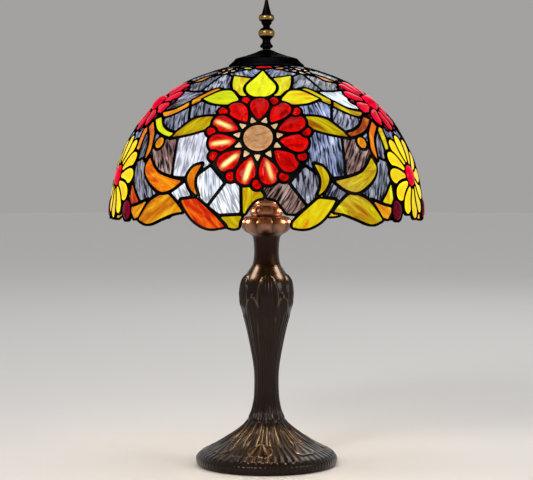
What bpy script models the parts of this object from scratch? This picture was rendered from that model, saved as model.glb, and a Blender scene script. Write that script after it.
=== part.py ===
"""Stained glass table lamp: a leaded glass shade on a cast bronze column, with two pull-chain sockets.

Every piece is its own object, in metres, with +Z up and the origin at the centre of the felt pad's
underside. The front of the lamp faces -Y.
"""

import math

import bmesh
import bpy
from mathutils import Matrix, Vector

MM = 0.001

# Driving dimensions of the lamp.
SHADE_RADIUS = 0.203
SHADE_SPRING_Z = 0.318  # the wall is upright below this height and domed above it
SHADE_DOME_RISE = 0.203
SHADE_DOME_POWER = 2.15  # exponent of the dome's section, where 2 is a circle
SHADE_WALL = 0.003
SHADE_PANELS = 5
SHADE_REPEAT_DEG = 70.5  # between the middles of two flowers
SHADE_TURN_DEG = -3.3  # how far the middle of the front panel stands off the front
CROWN_RADIUS = 0.046  # hole left at the top of the dome
PANEL_GAP = 0.0005
FIT_GAP = 0.0003  # left between pieces that touch

FOOT_RADIUS = 0.0928
FELT_RADIUS = 0.0853
FELT_THICKNESS = 0.0024
PIPE_RADIUS = 0.0048
PIPE_BORE = 0.0034
ROD_RADIUS = 0.0031
ROD_HOLE = 0.0036

SOCKET_TILT_DEG = 15.0  # of each socket's axis above the level
SOCKET_CENTRE_Z = 0.372
SIDES = {"left": -1, "right": 1}

COLUMN_STEPS = 30
SMALL_STEPS = 16
TINY_STEPS = 12

# Outlines of the turned pieces, as (radius, height) in millimetres, down the outer side first.
FOOT_OUTLINE = [
    (5.3, 60), (24.2, 60), (25.7, 57.2), (39, 44.2), (55.5, 33.3), (73.8, 22.5), (86.3, 16.6),
    (91.4, 12.6), (92.8, 9), (92.2, 4), (90.6, 0.8), (86, 0.8), (85.8, 4), (85.4, 9), (81, 13),
    (70, 19), (52, 28.5), (36, 39), (22, 49), (12, 50), (12, 32.3), (5.3, 32.3),
]
BALLAST_OUTLINE = [(5.4, 32), (30, 32), (48, 24), (66, 15.5), (72, 11.5), (72, 10), (5.4, 10)]
STEM_OUTLINE = [
    (5.3, 261.7), (18.2, 261.7), (25.5, 251), (32.1, 240.5), (34.6, 228), (34.8, 219), (33.4, 207),
    (30.7, 195.8), (24.5, 172), (18.7, 141), (16.1, 117.8), (16.4, 91.3), (19.1, 71.5), (23.9, 60.3),
    (19.5, 60.3), (13, 75), (11.5, 117), (14, 141), (19.5, 172), (25.5, 195.8), (29, 219),
    (26.5, 238), (14, 253), (5.3, 255),
]
COLLAR_OUTLINE = [
    (5.3, 324.7), (20, 324.7), (27.5, 323), (32.6, 315.8), (29.3, 306.4), (18.2, 299), (16.6, 292.5),
    (15.6, 278), (18, 262), (13.5, 262), (11.5, 278), (12, 299), (13, 316), (5.3, 318),
]
COLLAR_RING_OUTLINE = [
    (7.5, 344.9), (15.9, 344.9), (16.4, 341), (17, 336.7), (21.2, 330.2), (20, 325), (7.5, 325),
]
CLUSTER_OUTLINE = [
    (3.5, 391), (17, 390), (21, 384), (22, 376), (22, 368), (20, 361), (14, 355.5), (5.1, 355),
    (5.1, 364), (3.5, 364),
]
HEAT_CAP_OUTLINE = [
    (3.6, 538.5), (6, 538.4), (14, 535), (22.9, 531.8), (39.7, 527.2), (41.7, 525), (48.5, 518.7),
    (48.9, 517.4), (47.2, 517.4), (40.5, 523.4), (38.5, 525.4), (22.4, 530.2), (13.5, 533.2),
    (6, 536.2), (3.6, 536.5),
]
FINIAL_OUTLINE = [
    (0, 610), (1.5, 604.5), (3.4, 595), (6.6, 584), (9.2, 582.6), (10.1, 579.5), (9.2, 576.4),
    (6.9, 574.6), (6.7, 572), (4.4, 567.7), (8.2, 565), (10.6, 559.5), (8.2, 554), (5.6, 552.6),
    (5.6, 547), (8.5, 543.6), (8.5, 542), (4.8, 540.6), (6.2, 538.8), (3.6, 538.8), (3.6, 549),
    (0, 549.6),
]
CROWN_OUTLINE = [(41.2, 516.8), (43.8, 516.8), (43.8, 506.6), (36, 506.6), (36, 509), (41.2, 509)]

# Outlines along a socket's own axis, from the middle of the cluster outwards.
SOCKET_CAP_OUTLINE = [
    (18, 46), (18, 42), (16.5, 35), (11, 30.5), (5.2, 30), (5.2, 31.5), (10.4, 32), (15.3, 36),
    (16.8, 42.5), (16.8, 46),
]
SOCKET_SHELL_OUTLINE = [
    (18.6, 86), (18.6, 83.5), (17.6, 82), (17.6, 49), (18.2, 47.6), (18.2, 46.3), (16.5, 46.3),
    (16.5, 82.5), (17.2, 84), (17.2, 86),
]
SOCKET_CORE_OUTLINE = [(0, 60.5), (11.5, 60.5), (13.6, 58), (13.6, 40), (9, 36.5), (0, 36.5)]
BULB_BASE_OUTLINE = [
    (0, 86), (12.6, 86), (13.1, 84), (12.5, 82), (13.1, 80), (12.5, 78), (13.1, 76), (12.5, 74),
    (13.1, 72), (12.5, 70), (11, 67), (5, 64.5), (4.5, 62), (0, 61.5),
]
BULB_GLASS_OUTLINE = [
    (0, 151), (9, 149.3), (17, 144.3), (22.3, 136), (24, 126), (22.6, 116), (18.6, 105),
    (14.6, 95), (13.2, 86.3), (12.2, 86.3), (13.6, 95), (17.6, 105), (21.6, 116), (23, 126),
    (21.4, 135.4), (16.3, 143.4), (8.6, 148.3), (0, 150),
]

# Turning points of the scalloped rim from one flower to the next: (degrees from its middle, height in mm).
RIM_TURNS = [
    (0, 350), (15.5, 315), (27.5, 334), (41.5, 319), (49, 333), (55, 327), (59.5, 333), (66, 328),
    (70.5, 326),
]


def clear_scene():
    for old in list(bpy.data.objects):
        bpy.data.objects.remove(old, do_unlink=True)


def make_collection(name):
    collection = bpy.data.collections.new(name)
    bpy.context.scene.collection.children.link(collection)
    return collection


def make_material(name, color, roughness, metallic=0.0, alpha=1.0, transmission=0.0):
    """A Principled material; the same name gives the same material back."""
    if name in bpy.data.materials:
        return bpy.data.materials[name]
    material = bpy.data.materials.new(name)
    material.use_nodes = True
    shader = material.node_tree.nodes["Principled BSDF"]
    shader.inputs["Base Color"].default_value = (*color, 1.0)
    shader.inputs["Roughness"].default_value = roughness
    shader.inputs["Metallic"].default_value = metallic
    shader.inputs["Alpha"].default_value = alpha
    shader.inputs["Transmission Weight"].default_value = transmission
    return material


def bronze(name):
    return make_material(name, (0.10, 0.055, 0.035), 0.32, metallic=1.0)


def brass(name):
    return make_material(name, (0.72, 0.50, 0.20), 0.30, metallic=1.0)


def steel(name):
    return make_material(name, (0.55, 0.55, 0.56), 0.35, metallic=1.0)


def add_object(name, mesh, material, collection):
    obj = bpy.data.objects.new(name, mesh)
    mesh.materials.append(material)
    collection.objects.link(obj)
    return obj


def turned(name, outline, material, collection, steps=COLUMN_STEPS):
    """A turned piece: an outline in millimetres, swept round +Z by a Screw modifier.

    An outline that starts on the axis ends on it too. Any other is a loop, and its last point joins
    its first.
    """
    points = [Vector((radius * MM, 0, height * MM)) for radius, height in outline]
    edges = [(i, i + 1) for i in range(len(points) - 1)]
    if outline[0][0] > 0:
        edges.append((len(points) - 1, 0))
    mesh = bpy.data.meshes.new(name)
    mesh.from_pydata(points, edges, [])
    obj = add_object(name, mesh, material, collection)
    screw = obj.modifiers.new("Turn", "SCREW")
    screw.axis = "Z"
    screw.steps = steps
    screw.render_steps = steps
    screw.use_merge_vertices = True
    screw.merge_threshold = 0.00001
    screw.use_smooth_shade = True
    return obj


def finish_mesh(bm, name, material, collection, smooth_deg=30):
    bmesh.ops.recalc_face_normals(bm, faces=bm.faces)
    mesh = bpy.data.meshes.new(name)
    bm.to_mesh(mesh)
    bm.free()
    mesh.shade_smooth()
    mesh.set_sharp_from_angle(angle=math.radians(smooth_deg))
    return add_object(name, mesh, material, collection)


def cylinder(name, radius, low, high, material, collection, segments=SMALL_STEPS):
    """An upright solid cylinder between two heights, on the object's own Z axis."""
    bm = bmesh.new()
    bmesh.ops.create_cone(
        bm, cap_ends=True, segments=segments, radius1=radius, radius2=radius, depth=high - low,
        matrix=Matrix.Translation((0, 0, (low + high) / 2)),
    )
    return finish_mesh(bm, name, material, collection)


def cut(obj, cutter, operation="DIFFERENCE"):
    boolean = obj.modifiers.new(f"{operation.title()} {cutter.name}", "BOOLEAN")
    boolean.operation = operation
    boolean.object = cutter
    boolean.solver = "EXACT"


def helper(obj):
    """Marks an object as a cutter, which isn't part of the lamp."""
    obj.hide_render = True
    obj.display_type = "WIRE"
    return obj


def hex_nut(name, across_corners, hole, low, high, material, parts, cutters):
    nut = cylinder(name, across_corners / 2, low, high, material, parts, segments=6)
    bore = helper(cylinder(f"{name}_bore", hole, low - 0.002, high + 0.002, material, cutters))
    cut(nut, bore)
    return nut


def ring_outline(outer, inner, low, high):
    """The outline of a flat ring, in millimetres, from sizes in metres."""
    corners = [(outer, high), (outer, low), (inner, low), (inner, high)]
    return [(radius / MM, height / MM) for radius, height in corners]


def build_foot(parts, cutters):
    """The cast foot, the ballast inside it, the felt under it and the cord's gland at its back."""
    foot = turned("base_foot", FOOT_OUTLINE, bronze("foot_bronze"), parts, steps=36)
    gland_z = 0.0085
    gland_hole = 0.0047
    bore = helper(cylinder("gland_bore", gland_hole, 0.078, 0.1, foot.data.materials[0], cutters))
    bore.rotation_euler = (math.radians(-90), 0, 0)
    bore.location = (0, 0, gland_z)
    cut(foot, bore)

    iron = make_material("ballast_iron", (0.12, 0.12, 0.12), 0.7, 1.0)
    turned("base_ballast", BALLAST_OUTLINE, iron, parts)
    felt = make_material("base_felt", (0.02, 0.05, 0.03), 0.95)
    cylinder("felt_pad", FELT_RADIUS, 0.0, FELT_THICKNESS, felt, parts, segments=COLUMN_STEPS)

    flange_y = (FOOT_RADIUS + FIT_GAP) / MM
    gland_outline = [
        (2.6, flange_y + 1.4), (5.2, flange_y + 1.4), (5.9, flange_y + 0.7), (5.9, flange_y),
        (4.3, flange_y), (4.3, 82), (2.6, 82),
    ]
    gland_plastic = make_material("gland_plastic", (0.03, 0.025, 0.02), 0.45)
    gland = turned("cord_gland", gland_outline, gland_plastic, parts, steps=TINY_STEPS)
    gland.rotation_euler = (math.radians(-90), 0, 0)
    gland.location = (0, 0, gland_z)


def build_column(parts, cutters):
    """The stacked castings of the column on their threaded pipe, with the nuts that clamp them."""
    turned("stem_column", STEM_OUTLINE, bronze("stem_bronze"), parts)
    turned("lobed_collar", COLLAR_OUTLINE, bronze("collar_bronze"), parts)
    turned("collar_ring", COLLAR_RING_OUTLINE, bronze("ring_bronze"), parts)
    pipe_outline = ring_outline(PIPE_RADIUS, PIPE_BORE, 0.0028, 0.3637)
    turned("centre_pipe", pipe_outline, steel("pipe_steel"), parts, steps=SMALL_STEPS)
    washer_outline = ring_outline(0.016, PIPE_RADIUS + FIT_GAP, 0.0083, 0.0097)
    turned("lock_washer", washer_outline, steel("washer_steel"), parts, steps=SMALL_STEPS)
    nut_hole = PIPE_RADIUS + FIT_GAP
    hex_nut("bottom_nut", 0.018, nut_hole, 0.0030, 0.0080, steel("bottom_nut_steel"), parts, cutters)
    hex_nut("top_nut", 0.018, nut_hole, 0.3452, 0.3500, brass("top_nut_brass"), parts, cutters)


def socket_frame(side, collection):
    """An empty whose +Z runs out along one socket's axis; the socket's pieces are its children."""
    empty = bpy.data.objects.new(f"socket_axis_{side}", None)
    collection.objects.link(empty)
    empty.location = (0, 0, SOCKET_CENTRE_Z)
    lean = math.radians(90 - SOCKET_TILT_DEG)
    empty.rotation_euler = (0, SIDES[side] * lean, 0)
    return empty


def build_cluster(parts, cutters):
    """The two-light cluster body, and the rod above it that carries the shade."""
    cluster = turned("cluster_body", CLUSTER_OUTLINE, brass("cluster_brass"), parts, steps=SMALL_STEPS)
    nipple_hole = 0.0051
    for side in SIDES:
        frame = socket_frame(f"{side}", parts)
        metal = cluster.data.materials[0]
        bore = helper(cylinder(f"nipple_bore_{side}", nipple_hole, 0.0125, 0.045, metal, cutters))
        bore.parent = frame
        cut(cluster, bore)
        nipple_outline = ring_outline(PIPE_RADIUS, PIPE_BORE, 0.013, 0.0335)
        pieces = [
            turned(f"socket_nipple_{side}", nipple_outline, brass("nipple_brass"), parts, TINY_STEPS),
            turned(f"socket_cap_{side}", SOCKET_CAP_OUTLINE, brass("socket_brass"), parts, SMALL_STEPS),
            turned(f"socket_shell_{side}", SOCKET_SHELL_OUTLINE, brass("socket_brass"), parts, SMALL_STEPS),
        ]
        liner_outline = ring_outline(0.0161, 0.0146, 0.0475, 0.0845)
        liner_paper = make_material("liner_paper", (0.35, 0.26, 0.16), 0.8)
        pieces.append(turned(f"socket_liner_{side}", liner_outline, liner_paper, parts, SMALL_STEPS))
        core_plastic = make_material("core_plastic", (0.05, 0.03, 0.02), 0.4)
        pieces.append(turned(f"switch_core_{side}", SOCKET_CORE_OUTLINE, core_plastic, parts, SMALL_STEPS))
        bulb_glass = make_material("bulb_glass", (0.95, 0.93, 0.88), 0.25, alpha=0.6, transmission=0.8)
        pieces.append(turned(f"bulb_glass_{side}", BULB_GLASS_OUTLINE, bulb_glass, parts, SMALL_STEPS))
        base_steel = steel("bulb_base_steel")
        pieces.append(turned(f"bulb_base_{side}", BULB_BASE_OUTLINE, base_steel, parts, SMALL_STEPS))
        for piece in pieces:
            piece.parent = frame
    rod = steel("rod_steel")
    cylinder("shade_rod", ROD_RADIUS, 0.3645, 0.547, rod, parts, segments=TINY_STEPS)


def build_pull_chains(parts):
    """A short ball chain under each socket's cap, with a bell-shaped weight on its end."""
    chain_x = 0.0475
    chain_top = 0.3610
    bell_top = 0.3455
    bell_outline = [
        (0, 0), (1.6, -0.4), (2.2, -2.5), (4.4, -7.6), (5.2, -9), (5.2, -10), (0, -10),
    ]
    for side, sign in SIDES.items():
        curve = bpy.data.curves.new(f"pull_chain_{side}", "CURVE")
        curve.dimensions = "3D"
        curve.bevel_depth = 0.0012
        curve.bevel_resolution = 2
        curve.use_fill_caps = True
        spline = curve.splines.new("POLY")
        spline.points.add(1)
        spline.points[0].co = (0, 0, chain_top, 1)
        spline.points[1].co = (0, 0, bell_top + FIT_GAP, 1)
        curve.materials.append(brass("chain_brass"))
        chain = bpy.data.objects.new(f"pull_chain_{side}", curve)
        parts.objects.link(chain)
        chain.location.x = sign * chain_x
        bell = turned(f"chain_bell_{side}", bell_outline, brass("bell_brass"), parts, TINY_STEPS)
        bell.location = (sign * chain_x, 0, bell_top)


def dome_radius(height):
    """The shade's outer radius at a height, both in metres."""
    rise = max(0.0, (height - SHADE_SPRING_Z) / SHADE_DOME_RISE)
    return SHADE_RADIUS * (1 - rise**SHADE_DOME_POWER) ** (1 / SHADE_DOME_POWER)


def dome_height(radius):
    """The height at which the dome has this outer radius, both in metres."""
    share = radius / SHADE_RADIUS
    return SHADE_SPRING_Z + SHADE_DOME_RISE * (1 - share**SHADE_DOME_POWER) ** (1 / SHADE_DOME_POWER)


def rim_height(degrees):
    """Height of the scalloped rim, this many degrees from the middle of the front panel."""
    # The two kinds of flower alternate, and two of the same kind meet at the back.
    from_front = abs((degrees + 180) % 360 - 180)
    turn = from_front if from_front <= SHADE_REPEAT_DEG else abs(2 * SHADE_REPEAT_DEG - from_front)
    for (start, start_z), (end, end_z) in zip(RIM_TURNS, RIM_TURNS[1:]):
        if turn <= end:
            share = (1 - math.cos(math.pi * (turn - start) / (end - start))) / 2
            return (start_z + (end_z - start_z) * share) * MM
    return RIM_TURNS[-1][1] * MM


def shade_panel(name, middle_deg, material, collection):
    """One leaded panel: a grid laid on the dome between the scalloped rim and the crown, made thick."""
    columns = 18
    rows = 8
    half_deg = 180 / SHADE_PANELS
    crown_z = dome_height(CROWN_RADIUS)
    bm = bmesh.new()
    bmesh.ops.create_grid(bm, x_segments=columns, y_segments=rows, size=1.0)
    for vertex in bm.verts:
        across = vertex.co.x
        up = math.sin((vertex.co.y + 1) / 2 * math.pi / 2)
        degrees = middle_deg + across * half_deg
        rim_z = rim_height(degrees)
        height = rim_z + (crown_z - rim_z) * up
        radius = dome_radius(height) if vertex.co.y < 0.999 else CROWN_RADIUS
        azimuth = math.radians(degrees + SHADE_TURN_DEG) - across * PANEL_GAP / 2 / radius
        vertex.co = (radius * math.sin(azimuth), -radius * math.cos(azimuth), height)
    bmesh.ops.recalc_face_normals(bm, faces=bm.faces)
    outward = bm.faces[:][0]
    if outward.normal.dot(outward.calc_center_median() - Vector((0, 0, SHADE_SPRING_Z))) < 0:
        bmesh.ops.reverse_faces(bm, faces=bm.faces)
    mesh = bpy.data.meshes.new(name)
    bm.to_mesh(mesh)
    bm.free()
    mesh.shade_smooth()
    panel = add_object(name, mesh, material, collection)
    solidify = panel.modifiers.new("Glass thickness", "SOLIDIFY")
    solidify.thickness = SHADE_WALL
    solidify.offset = -1.0
    return panel


def build_shade(parts, cutters):
    """Five leaded panels round a crown ring, and the three-armed wheel that the ring sits on."""
    panels = {
        "shade_panel_front": ((0.75, 0.05, 0.03), 0),
        "shade_panel_right": ((0.95, 0.75, 0.05), 72),
        "shade_panel_left": ((0.90, 0.45, 0.05), -72),
        "shade_panel_back_right": ((0.45, 0.55, 0.62), 144),
        "shade_panel_back_left": ((0.50, 0.55, 0.20), -144),
    }
    for name, (color, middle_deg) in panels.items():
        glass = make_material(f"{name}_glass", color, 0.12, alpha=0.9, transmission=0.3)
        shade_panel(name, middle_deg, glass, parts)
    turned("crown_ring", CROWN_OUTLINE, brass("crown_brass"), parts)

    wheel_low = 0.5023
    wheel_high = 0.5063
    wheel_steel = steel("wheel_steel")
    wheel_outline = ring_outline(0.044, 0.037, wheel_low, wheel_high)
    wheel = turned("spider_wheel", wheel_outline, wheel_steel, parts)
    hub = helper(cylinder("wheel_hub", 0.009, wheel_low, wheel_high, wheel_steel, cutters))
    cut(wheel, hub, "UNION")
    arm_length = 0.033
    for number in range(3):
        bm = bmesh.new()
        bmesh.ops.create_cube(bm, size=1.0)
        bmesh.ops.scale(bm, vec=(arm_length, 0.008, wheel_high - wheel_low - 0.0006), verts=bm.verts)
        middle = (wheel_low + wheel_high) / 2
        bmesh.ops.translate(bm, vec=(0.006 + arm_length / 2, 0, middle), verts=bm.verts)
        arm = helper(finish_mesh(bm, f"wheel_arm_{number + 1}", wheel_steel, cutters))
        arm.rotation_euler = (0, 0, math.radians(90 + 120 * number))
        cut(wheel, arm, "UNION")
    hub_bore = helper(cylinder("wheel_bore", ROD_HOLE, 0.49, 0.52, wheel_steel, cutters, TINY_STEPS))
    cut(wheel, hub_bore)
    rod_hole = ROD_RADIUS + FIT_GAP
    hex_nut("seat_nut", 0.016, rod_hole, 0.4965, 0.5020, brass("seat_nut_brass"), parts, cutters)


def build_top(parts):
    """The black vented cap over the crown, and the finial that screws down on it."""
    cap_black = make_material("cap_black", (0.02, 0.018, 0.016), 0.35, metallic=0.8)
    turned("heat_cap", HEAT_CAP_OUTLINE, cap_black, parts)
    finial_bronze = make_material("finial_bronze", (0.16, 0.10, 0.05), 0.3, metallic=1.0)
    turned("finial", FINIAL_OUTLINE, finial_bronze, parts, steps=SMALL_STEPS)


def build_lamp():
    clear_scene()
    parts = make_collection("stained_glass_table_lamp")
    cutters = make_collection("cutters")
    build_foot(parts, cutters)
    build_column(parts, cutters)
    build_cluster(parts, cutters)
    build_pull_chains(parts)
    build_shade(parts, cutters)
    build_top(parts)


build_lamp()
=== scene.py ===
"""Looks of a stained glass table lamp: the leaded shade, the cast bronze column and the fittings inside.

The frame gives every place and size. Lengths in the classes are in millimetres, unless a name says
otherwise, and are turned into metres where a mesh is made.
"""

from __future__ import annotations

import logging
import math
from dataclasses import dataclass, field
from enum import Enum
from typing import Callable, Iterable, Sequence

import bpy
import numpy as np
from mathutils import Matrix, Vector, geometry, kdtree


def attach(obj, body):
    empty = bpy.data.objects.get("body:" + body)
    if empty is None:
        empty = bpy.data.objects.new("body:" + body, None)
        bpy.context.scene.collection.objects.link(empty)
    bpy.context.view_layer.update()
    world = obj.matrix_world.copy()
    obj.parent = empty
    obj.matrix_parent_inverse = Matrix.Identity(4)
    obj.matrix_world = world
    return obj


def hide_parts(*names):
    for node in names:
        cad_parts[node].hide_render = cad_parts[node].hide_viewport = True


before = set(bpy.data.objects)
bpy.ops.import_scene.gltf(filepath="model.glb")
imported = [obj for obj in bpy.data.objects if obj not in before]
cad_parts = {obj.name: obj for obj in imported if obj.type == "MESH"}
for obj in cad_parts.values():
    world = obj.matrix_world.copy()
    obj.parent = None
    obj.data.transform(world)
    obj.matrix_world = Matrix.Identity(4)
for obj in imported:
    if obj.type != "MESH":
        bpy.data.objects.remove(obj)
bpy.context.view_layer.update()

log = logging.getLogger("lamp")

MM = 0.001
BODY_SHARE = 0.25  # how much of its colour unlit glass keeps
GLASS_IOR = 1.45
COAT_ROUGHNESS = 0.16
PLAIN_TONE = (1.0, 1.0, 1.0, 0.0)
Point = tuple[float, float]
Colour = tuple[float, float, float]
Socket = bpy.types.NodeSocket
Material = bpy.types.Material
Object = bpy.types.Object
Array = np.ndarray


# ----- Finishes -----


class NodeSheet:
    """A material's node tree, with short calls for the nodes that the finishes use."""

    def __init__(self, name: str) -> None:
        """Starts an empty material with one Principled shader.

        Args:
            name: The material's name.
        """
        self.material = bpy.data.materials.new(name)
        self.material.use_nodes = True
        self.tree = self.material.node_tree
        self.shader = self.tree.nodes["Principled BSDF"]

    def node(self, kind: str, **values: object) -> bpy.types.Node:
        """Adds a node.

        Args:
            kind: The node's type, such as ShaderNodeMix.
            **values: Properties, or default values of the inputs with these names.

        Returns:
            The new node.
        """
        made = self.tree.nodes.new(kind)
        for key, value in values.items():
            if hasattr(made, key):
                setattr(made, key, value)
            else:
                made.inputs[key.replace("_", " ")].default_value = value
        return made

    def link(self, source: Socket, target: Socket) -> None:
        """Joins an output to an input."""
        self.tree.links.new(source, target)

    def set(self, **values: object) -> None:
        """Sets the shader's own inputs, by name with _ for a space."""
        for key, value in values.items():
            self.shader.inputs[key.replace("_", " ")].default_value = value

    def coordinates(self, attribute: str | None = None, scale: Sequence[float] = (1, 1, 1)) -> Socket:
        """Object coordinates, or a UV map's, scaled.

        Args:
            attribute: The UV map's name, or None for Object coordinates.
            scale: The scale along each axis.

        Returns:
            The vector output.
        """
        mapping = self.node("ShaderNodeMapping", Scale=scale)
        if attribute:
            source = self.node("ShaderNodeUVMap", uv_map=attribute).outputs["UV"]
        else:
            source = self.node("ShaderNodeTexCoord").outputs["Object"]
        self.link(source, mapping.inputs["Vector"])
        return mapping.outputs["Vector"]

    def noise(self, vector: Socket, scale: float, detail: float = 3.0, rough: float = 0.55,
              distortion: float = 0.0) -> Socket:
        """A noise texture's value on a vector."""
        made = self.node("ShaderNodeTexNoise", Scale=scale, Detail=detail, Roughness=rough,
                         Distortion=distortion)
        self.link(vector, made.inputs["Vector"])
        return made.outputs["Fac"]

    def ramp(self, value: Socket, stops: Sequence[tuple[float, Colour]]) -> Socket:
        """A colour ramp on a value.

        Args:
            value: What runs along the ramp.
            stops: Places along the ramp and their colours.

        Returns:
            The colour output.
        """
        made = self.node("ShaderNodeValToRGB")
        elements = made.color_ramp.elements
        while len(elements) < len(stops):
            elements.new(0.5)
        for element, (place, colour) in zip(elements, stops):
            element.position = place
            element.color = (*colour, 1.0)
        self.link(value, made.inputs["Fac"])
        return made.outputs["Color"]

    def math(self, operation: str, first: object, second: object = 0.0, third: object = 0.0,
             clamp: bool = False) -> Socket:
        """A Math node on sockets or numbers."""
        made = self.node("ShaderNodeMath", operation=operation, use_clamp=clamp)
        for number, value in enumerate((first, second, third)):
            if isinstance(value, Socket):
                self.link(value, made.inputs[number])
            else:
                made.inputs[number].default_value = value
        return made.outputs[0]

    def mix(self, share: object, first: object, second: object, blend: str = "MIX") -> Socket:
        """Mixes two colours, each a socket or a colour."""
        made = self.node("ShaderNodeMix", data_type="RGBA", blend_type=blend)
        for number, value in ((0, share), (6, first), (7, second)):
            if isinstance(value, Socket):
                self.link(value, made.inputs[number])
            else:
                made.inputs[number].default_value = (*value, 1.0) if number else value
        return made.outputs[2]

    def bump(self, height: Socket, strength: float, depth: float) -> None:
        """Gives the surface a bump of a depth in metres."""
        made = self.node("ShaderNodeBump", Strength=strength, Distance=depth)
        self.link(height, made.inputs["Height"])
        self.link(made.outputs["Normal"], self.shader.inputs["Normal"])

    def light_through(self, colour: Socket, glow: float, painted_highlight: Colour | None = None) -> None:
        """Tints a glass's colour by the attribute tone, and paints the light of the lamp inside onto it as a
        painted glow.

        Args:
            colour: The glass's colour.
            glow: Strength of the painted glow that stands for the lamp shining through.
            painted_highlight: Colour of the painted highlight where the lamp shines straight through, by the
                attribute's alpha, or None.
        """
        tone = self.node("ShaderNodeAttribute", attribute_name="tone")
        colour = self.mix(1.0, colour, tone.outputs["Color"], blend="MULTIPLY")
        self.link(self.mix(BODY_SHARE, (0, 0, 0), colour), self.shader.inputs["Base Color"])
        # A painted highlight, mixed in by the tone's alpha.
        if painted_highlight:
            colour = self.mix(tone.outputs["Alpha"], colour, painted_highlight)
        # Painted glow: the emission stands for the lamp's light coming through the glass.
        self.link(colour, self.shader.inputs["Emission Color"])
        self.set(Emission_Strength=glow, IOR=GLASS_IOR)


RIPPLE_SCALE = (52.0, 360.0, 1.0)  # ripples per metre along the sheet's grain and across it
# The ripple's dark and light lines: places in its noise, and what the colour is multiplied by there.
RIPPLE_LINES = (
    (0.39, (0.02, 0.02, 0.03)),
    (0.46, (0.34, 0.34, 0.37)),
    (0.52, (1.0, 1.0, 1.0)),
    (0.62, (1.25, 1.25, 1.25)),
)


@dataclass(frozen=True)
class SheetGlass:
    """Streaky art glass, lit from inside: three colours drawn out along the sheet, with a rippled face.

    Attributes:
        name: The finish's name.
        dark: Colour in the thick streaks.
        middle: The main colour.
        light: Colour in the thin streaks.
        ripple: How strongly the face is rippled, from 0 to 1.
        stretch: How long the streaks are for their width.
        glow: Strength of the painted glow that stands for the light inside showing through.
        grain: How strongly the ripple's own lines darken the colour.
    """

    name: str
    dark: Colour
    middle: Colour
    light: Colour
    ripple: float = 0.25
    stretch: float = 4.0
    glow: float = 0.8
    grain: float = 0.0

    def build(self) -> Material:
        """Returns the material of this glass."""
        sheet = NodeSheet(self.name)
        streaks = sheet.noise(sheet.coordinates("grain", (1.0, self.stretch, 1.0)), 26.0, detail=4.0,
                              rough=0.6, distortion=1.2)
        colour = sheet.ramp(streaks, [(0.30, self.dark), (0.50, self.middle), (0.70, self.light)])
        ridges = sheet.noise(sheet.coordinates("grain", RIPPLE_SCALE), 1.0, detail=1.0, rough=0.4,
                             distortion=0.6)
        if self.grain > 0:
            colour = sheet.mix(self.grain, colour, sheet.ramp(ridges, RIPPLE_LINES), blend="MULTIPLY")
        sheet.light_through(colour, self.glow)
        sheet.set(Roughness=0.25, Specular_IOR_Level=0.1)
        sheet.bump(ridges, 0.5 + 0.5 * self.ripple, 0.9 * MM * self.ripple)
        return sheet.material


@dataclass(frozen=True)
class CastGlass:
    """Clear-coloured pressed glass for petals, beads and jewels: deep in the middle, bright at the edges.

    Attributes:
        name: The finish's name.
        deep: Colour where the glass is thick.
        bright: Colour where light gathers.
        glow: Strength of the painted glow that stands for the light inside showing through.
        mottle: How strongly the colour is mottled.
        painted_highlight: Colour of the painted highlight where the lamp inside shines straight through.
    """

    name: str
    deep: Colour
    bright: Colour
    glow: float = 0.8
    mottle: float = 0.5
    painted_highlight: Colour = (2.2, 1.45, 0.5)

    def build(self) -> Material:
        """Returns the material of this glass."""
        sheet = NodeSheet(self.name)
        clouds = sheet.noise(sheet.coordinates("grain", (1.0, 2.0, 1.0)), 70.0, detail=4.0, rough=0.6,
                             distortion=0.8)
        sheet.light_through(sheet.ramp(clouds, [(0.35, self.deep), (0.6, self.bright)]), self.glow, self.painted_highlight)
        sheet.set(Roughness=0.12, Specular_IOR_Level=0.05)
        sheet.bump(clouds, 0.2, 0.4 * MM * self.mottle)
        return sheet.material


@dataclass(frozen=True)
class Patina:
    """Metal with a dark patina that is rubbed through to the metal on its high places.

    Attributes:
        name: The finish's name.
        patina: Colour of the patina.
        metal: Colour of the rubbed metal.
        rubbed: Share of the surface rubbed through, from 0 to 1.
        roughness: Roughness of the rubbed metal.
        speck: Depth of the cast surface's grain, in millimetres.
        relief: Whether the attribute tone holds how high each place stands.
        coat: How much lacquer lies over it, from 0 to 1.
        edge: How much light it throws back at a low angle, from 0 to 1.
    """

    name: str
    patina: Colour
    metal: Colour
    rubbed: float = 0.5
    roughness: float = 0.28
    speck: float = 0.15
    relief: bool = False
    coat: float = 0.0
    edge: float = 1.0

    def build(self) -> Material:
        """Returns the material of this metal."""
        sheet = NodeSheet(self.name)
        where = sheet.coordinates()
        clouds = sheet.noise(where, 38.0, detail=5.0, rough=0.6)
        high = clouds
        if self.relief:
            high = sheet.node("ShaderNodeAttribute", attribute_name="tone").outputs["Fac"]
        raised = sheet.math("MULTIPLY_ADD", high, 1.25, self.rubbed - 0.75)
        worn = sheet.math("MULTIPLY_ADD", clouds, 0.7, sheet.math("SUBTRACT", raised, 0.35), clamp=True)
        sheet.link(sheet.mix(worn, self.patina, self.metal), sheet.shader.inputs["Base Color"])
        rough = sheet.math("MULTIPLY_ADD", clouds, 0.22, self.roughness - 0.08)
        sheet.link(rough, sheet.shader.inputs["Roughness"])
        sheet.set(Metallic=1.0, Coat_Weight=self.coat, Coat_Roughness=COAT_ROUGHNESS,
                  Specular_Tint=(self.edge,) * 3 + (1.0,))
        sheet.bump(sheet.noise(where, 900.0, detail=2.0), 0.35, self.speck * MM)
        return sheet.material


# ----- The dome, and the flat plan that the glass pattern is drawn on -----


SLOPE_STEP = 0.004  # the latitude over which the dome's slope is taken


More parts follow.
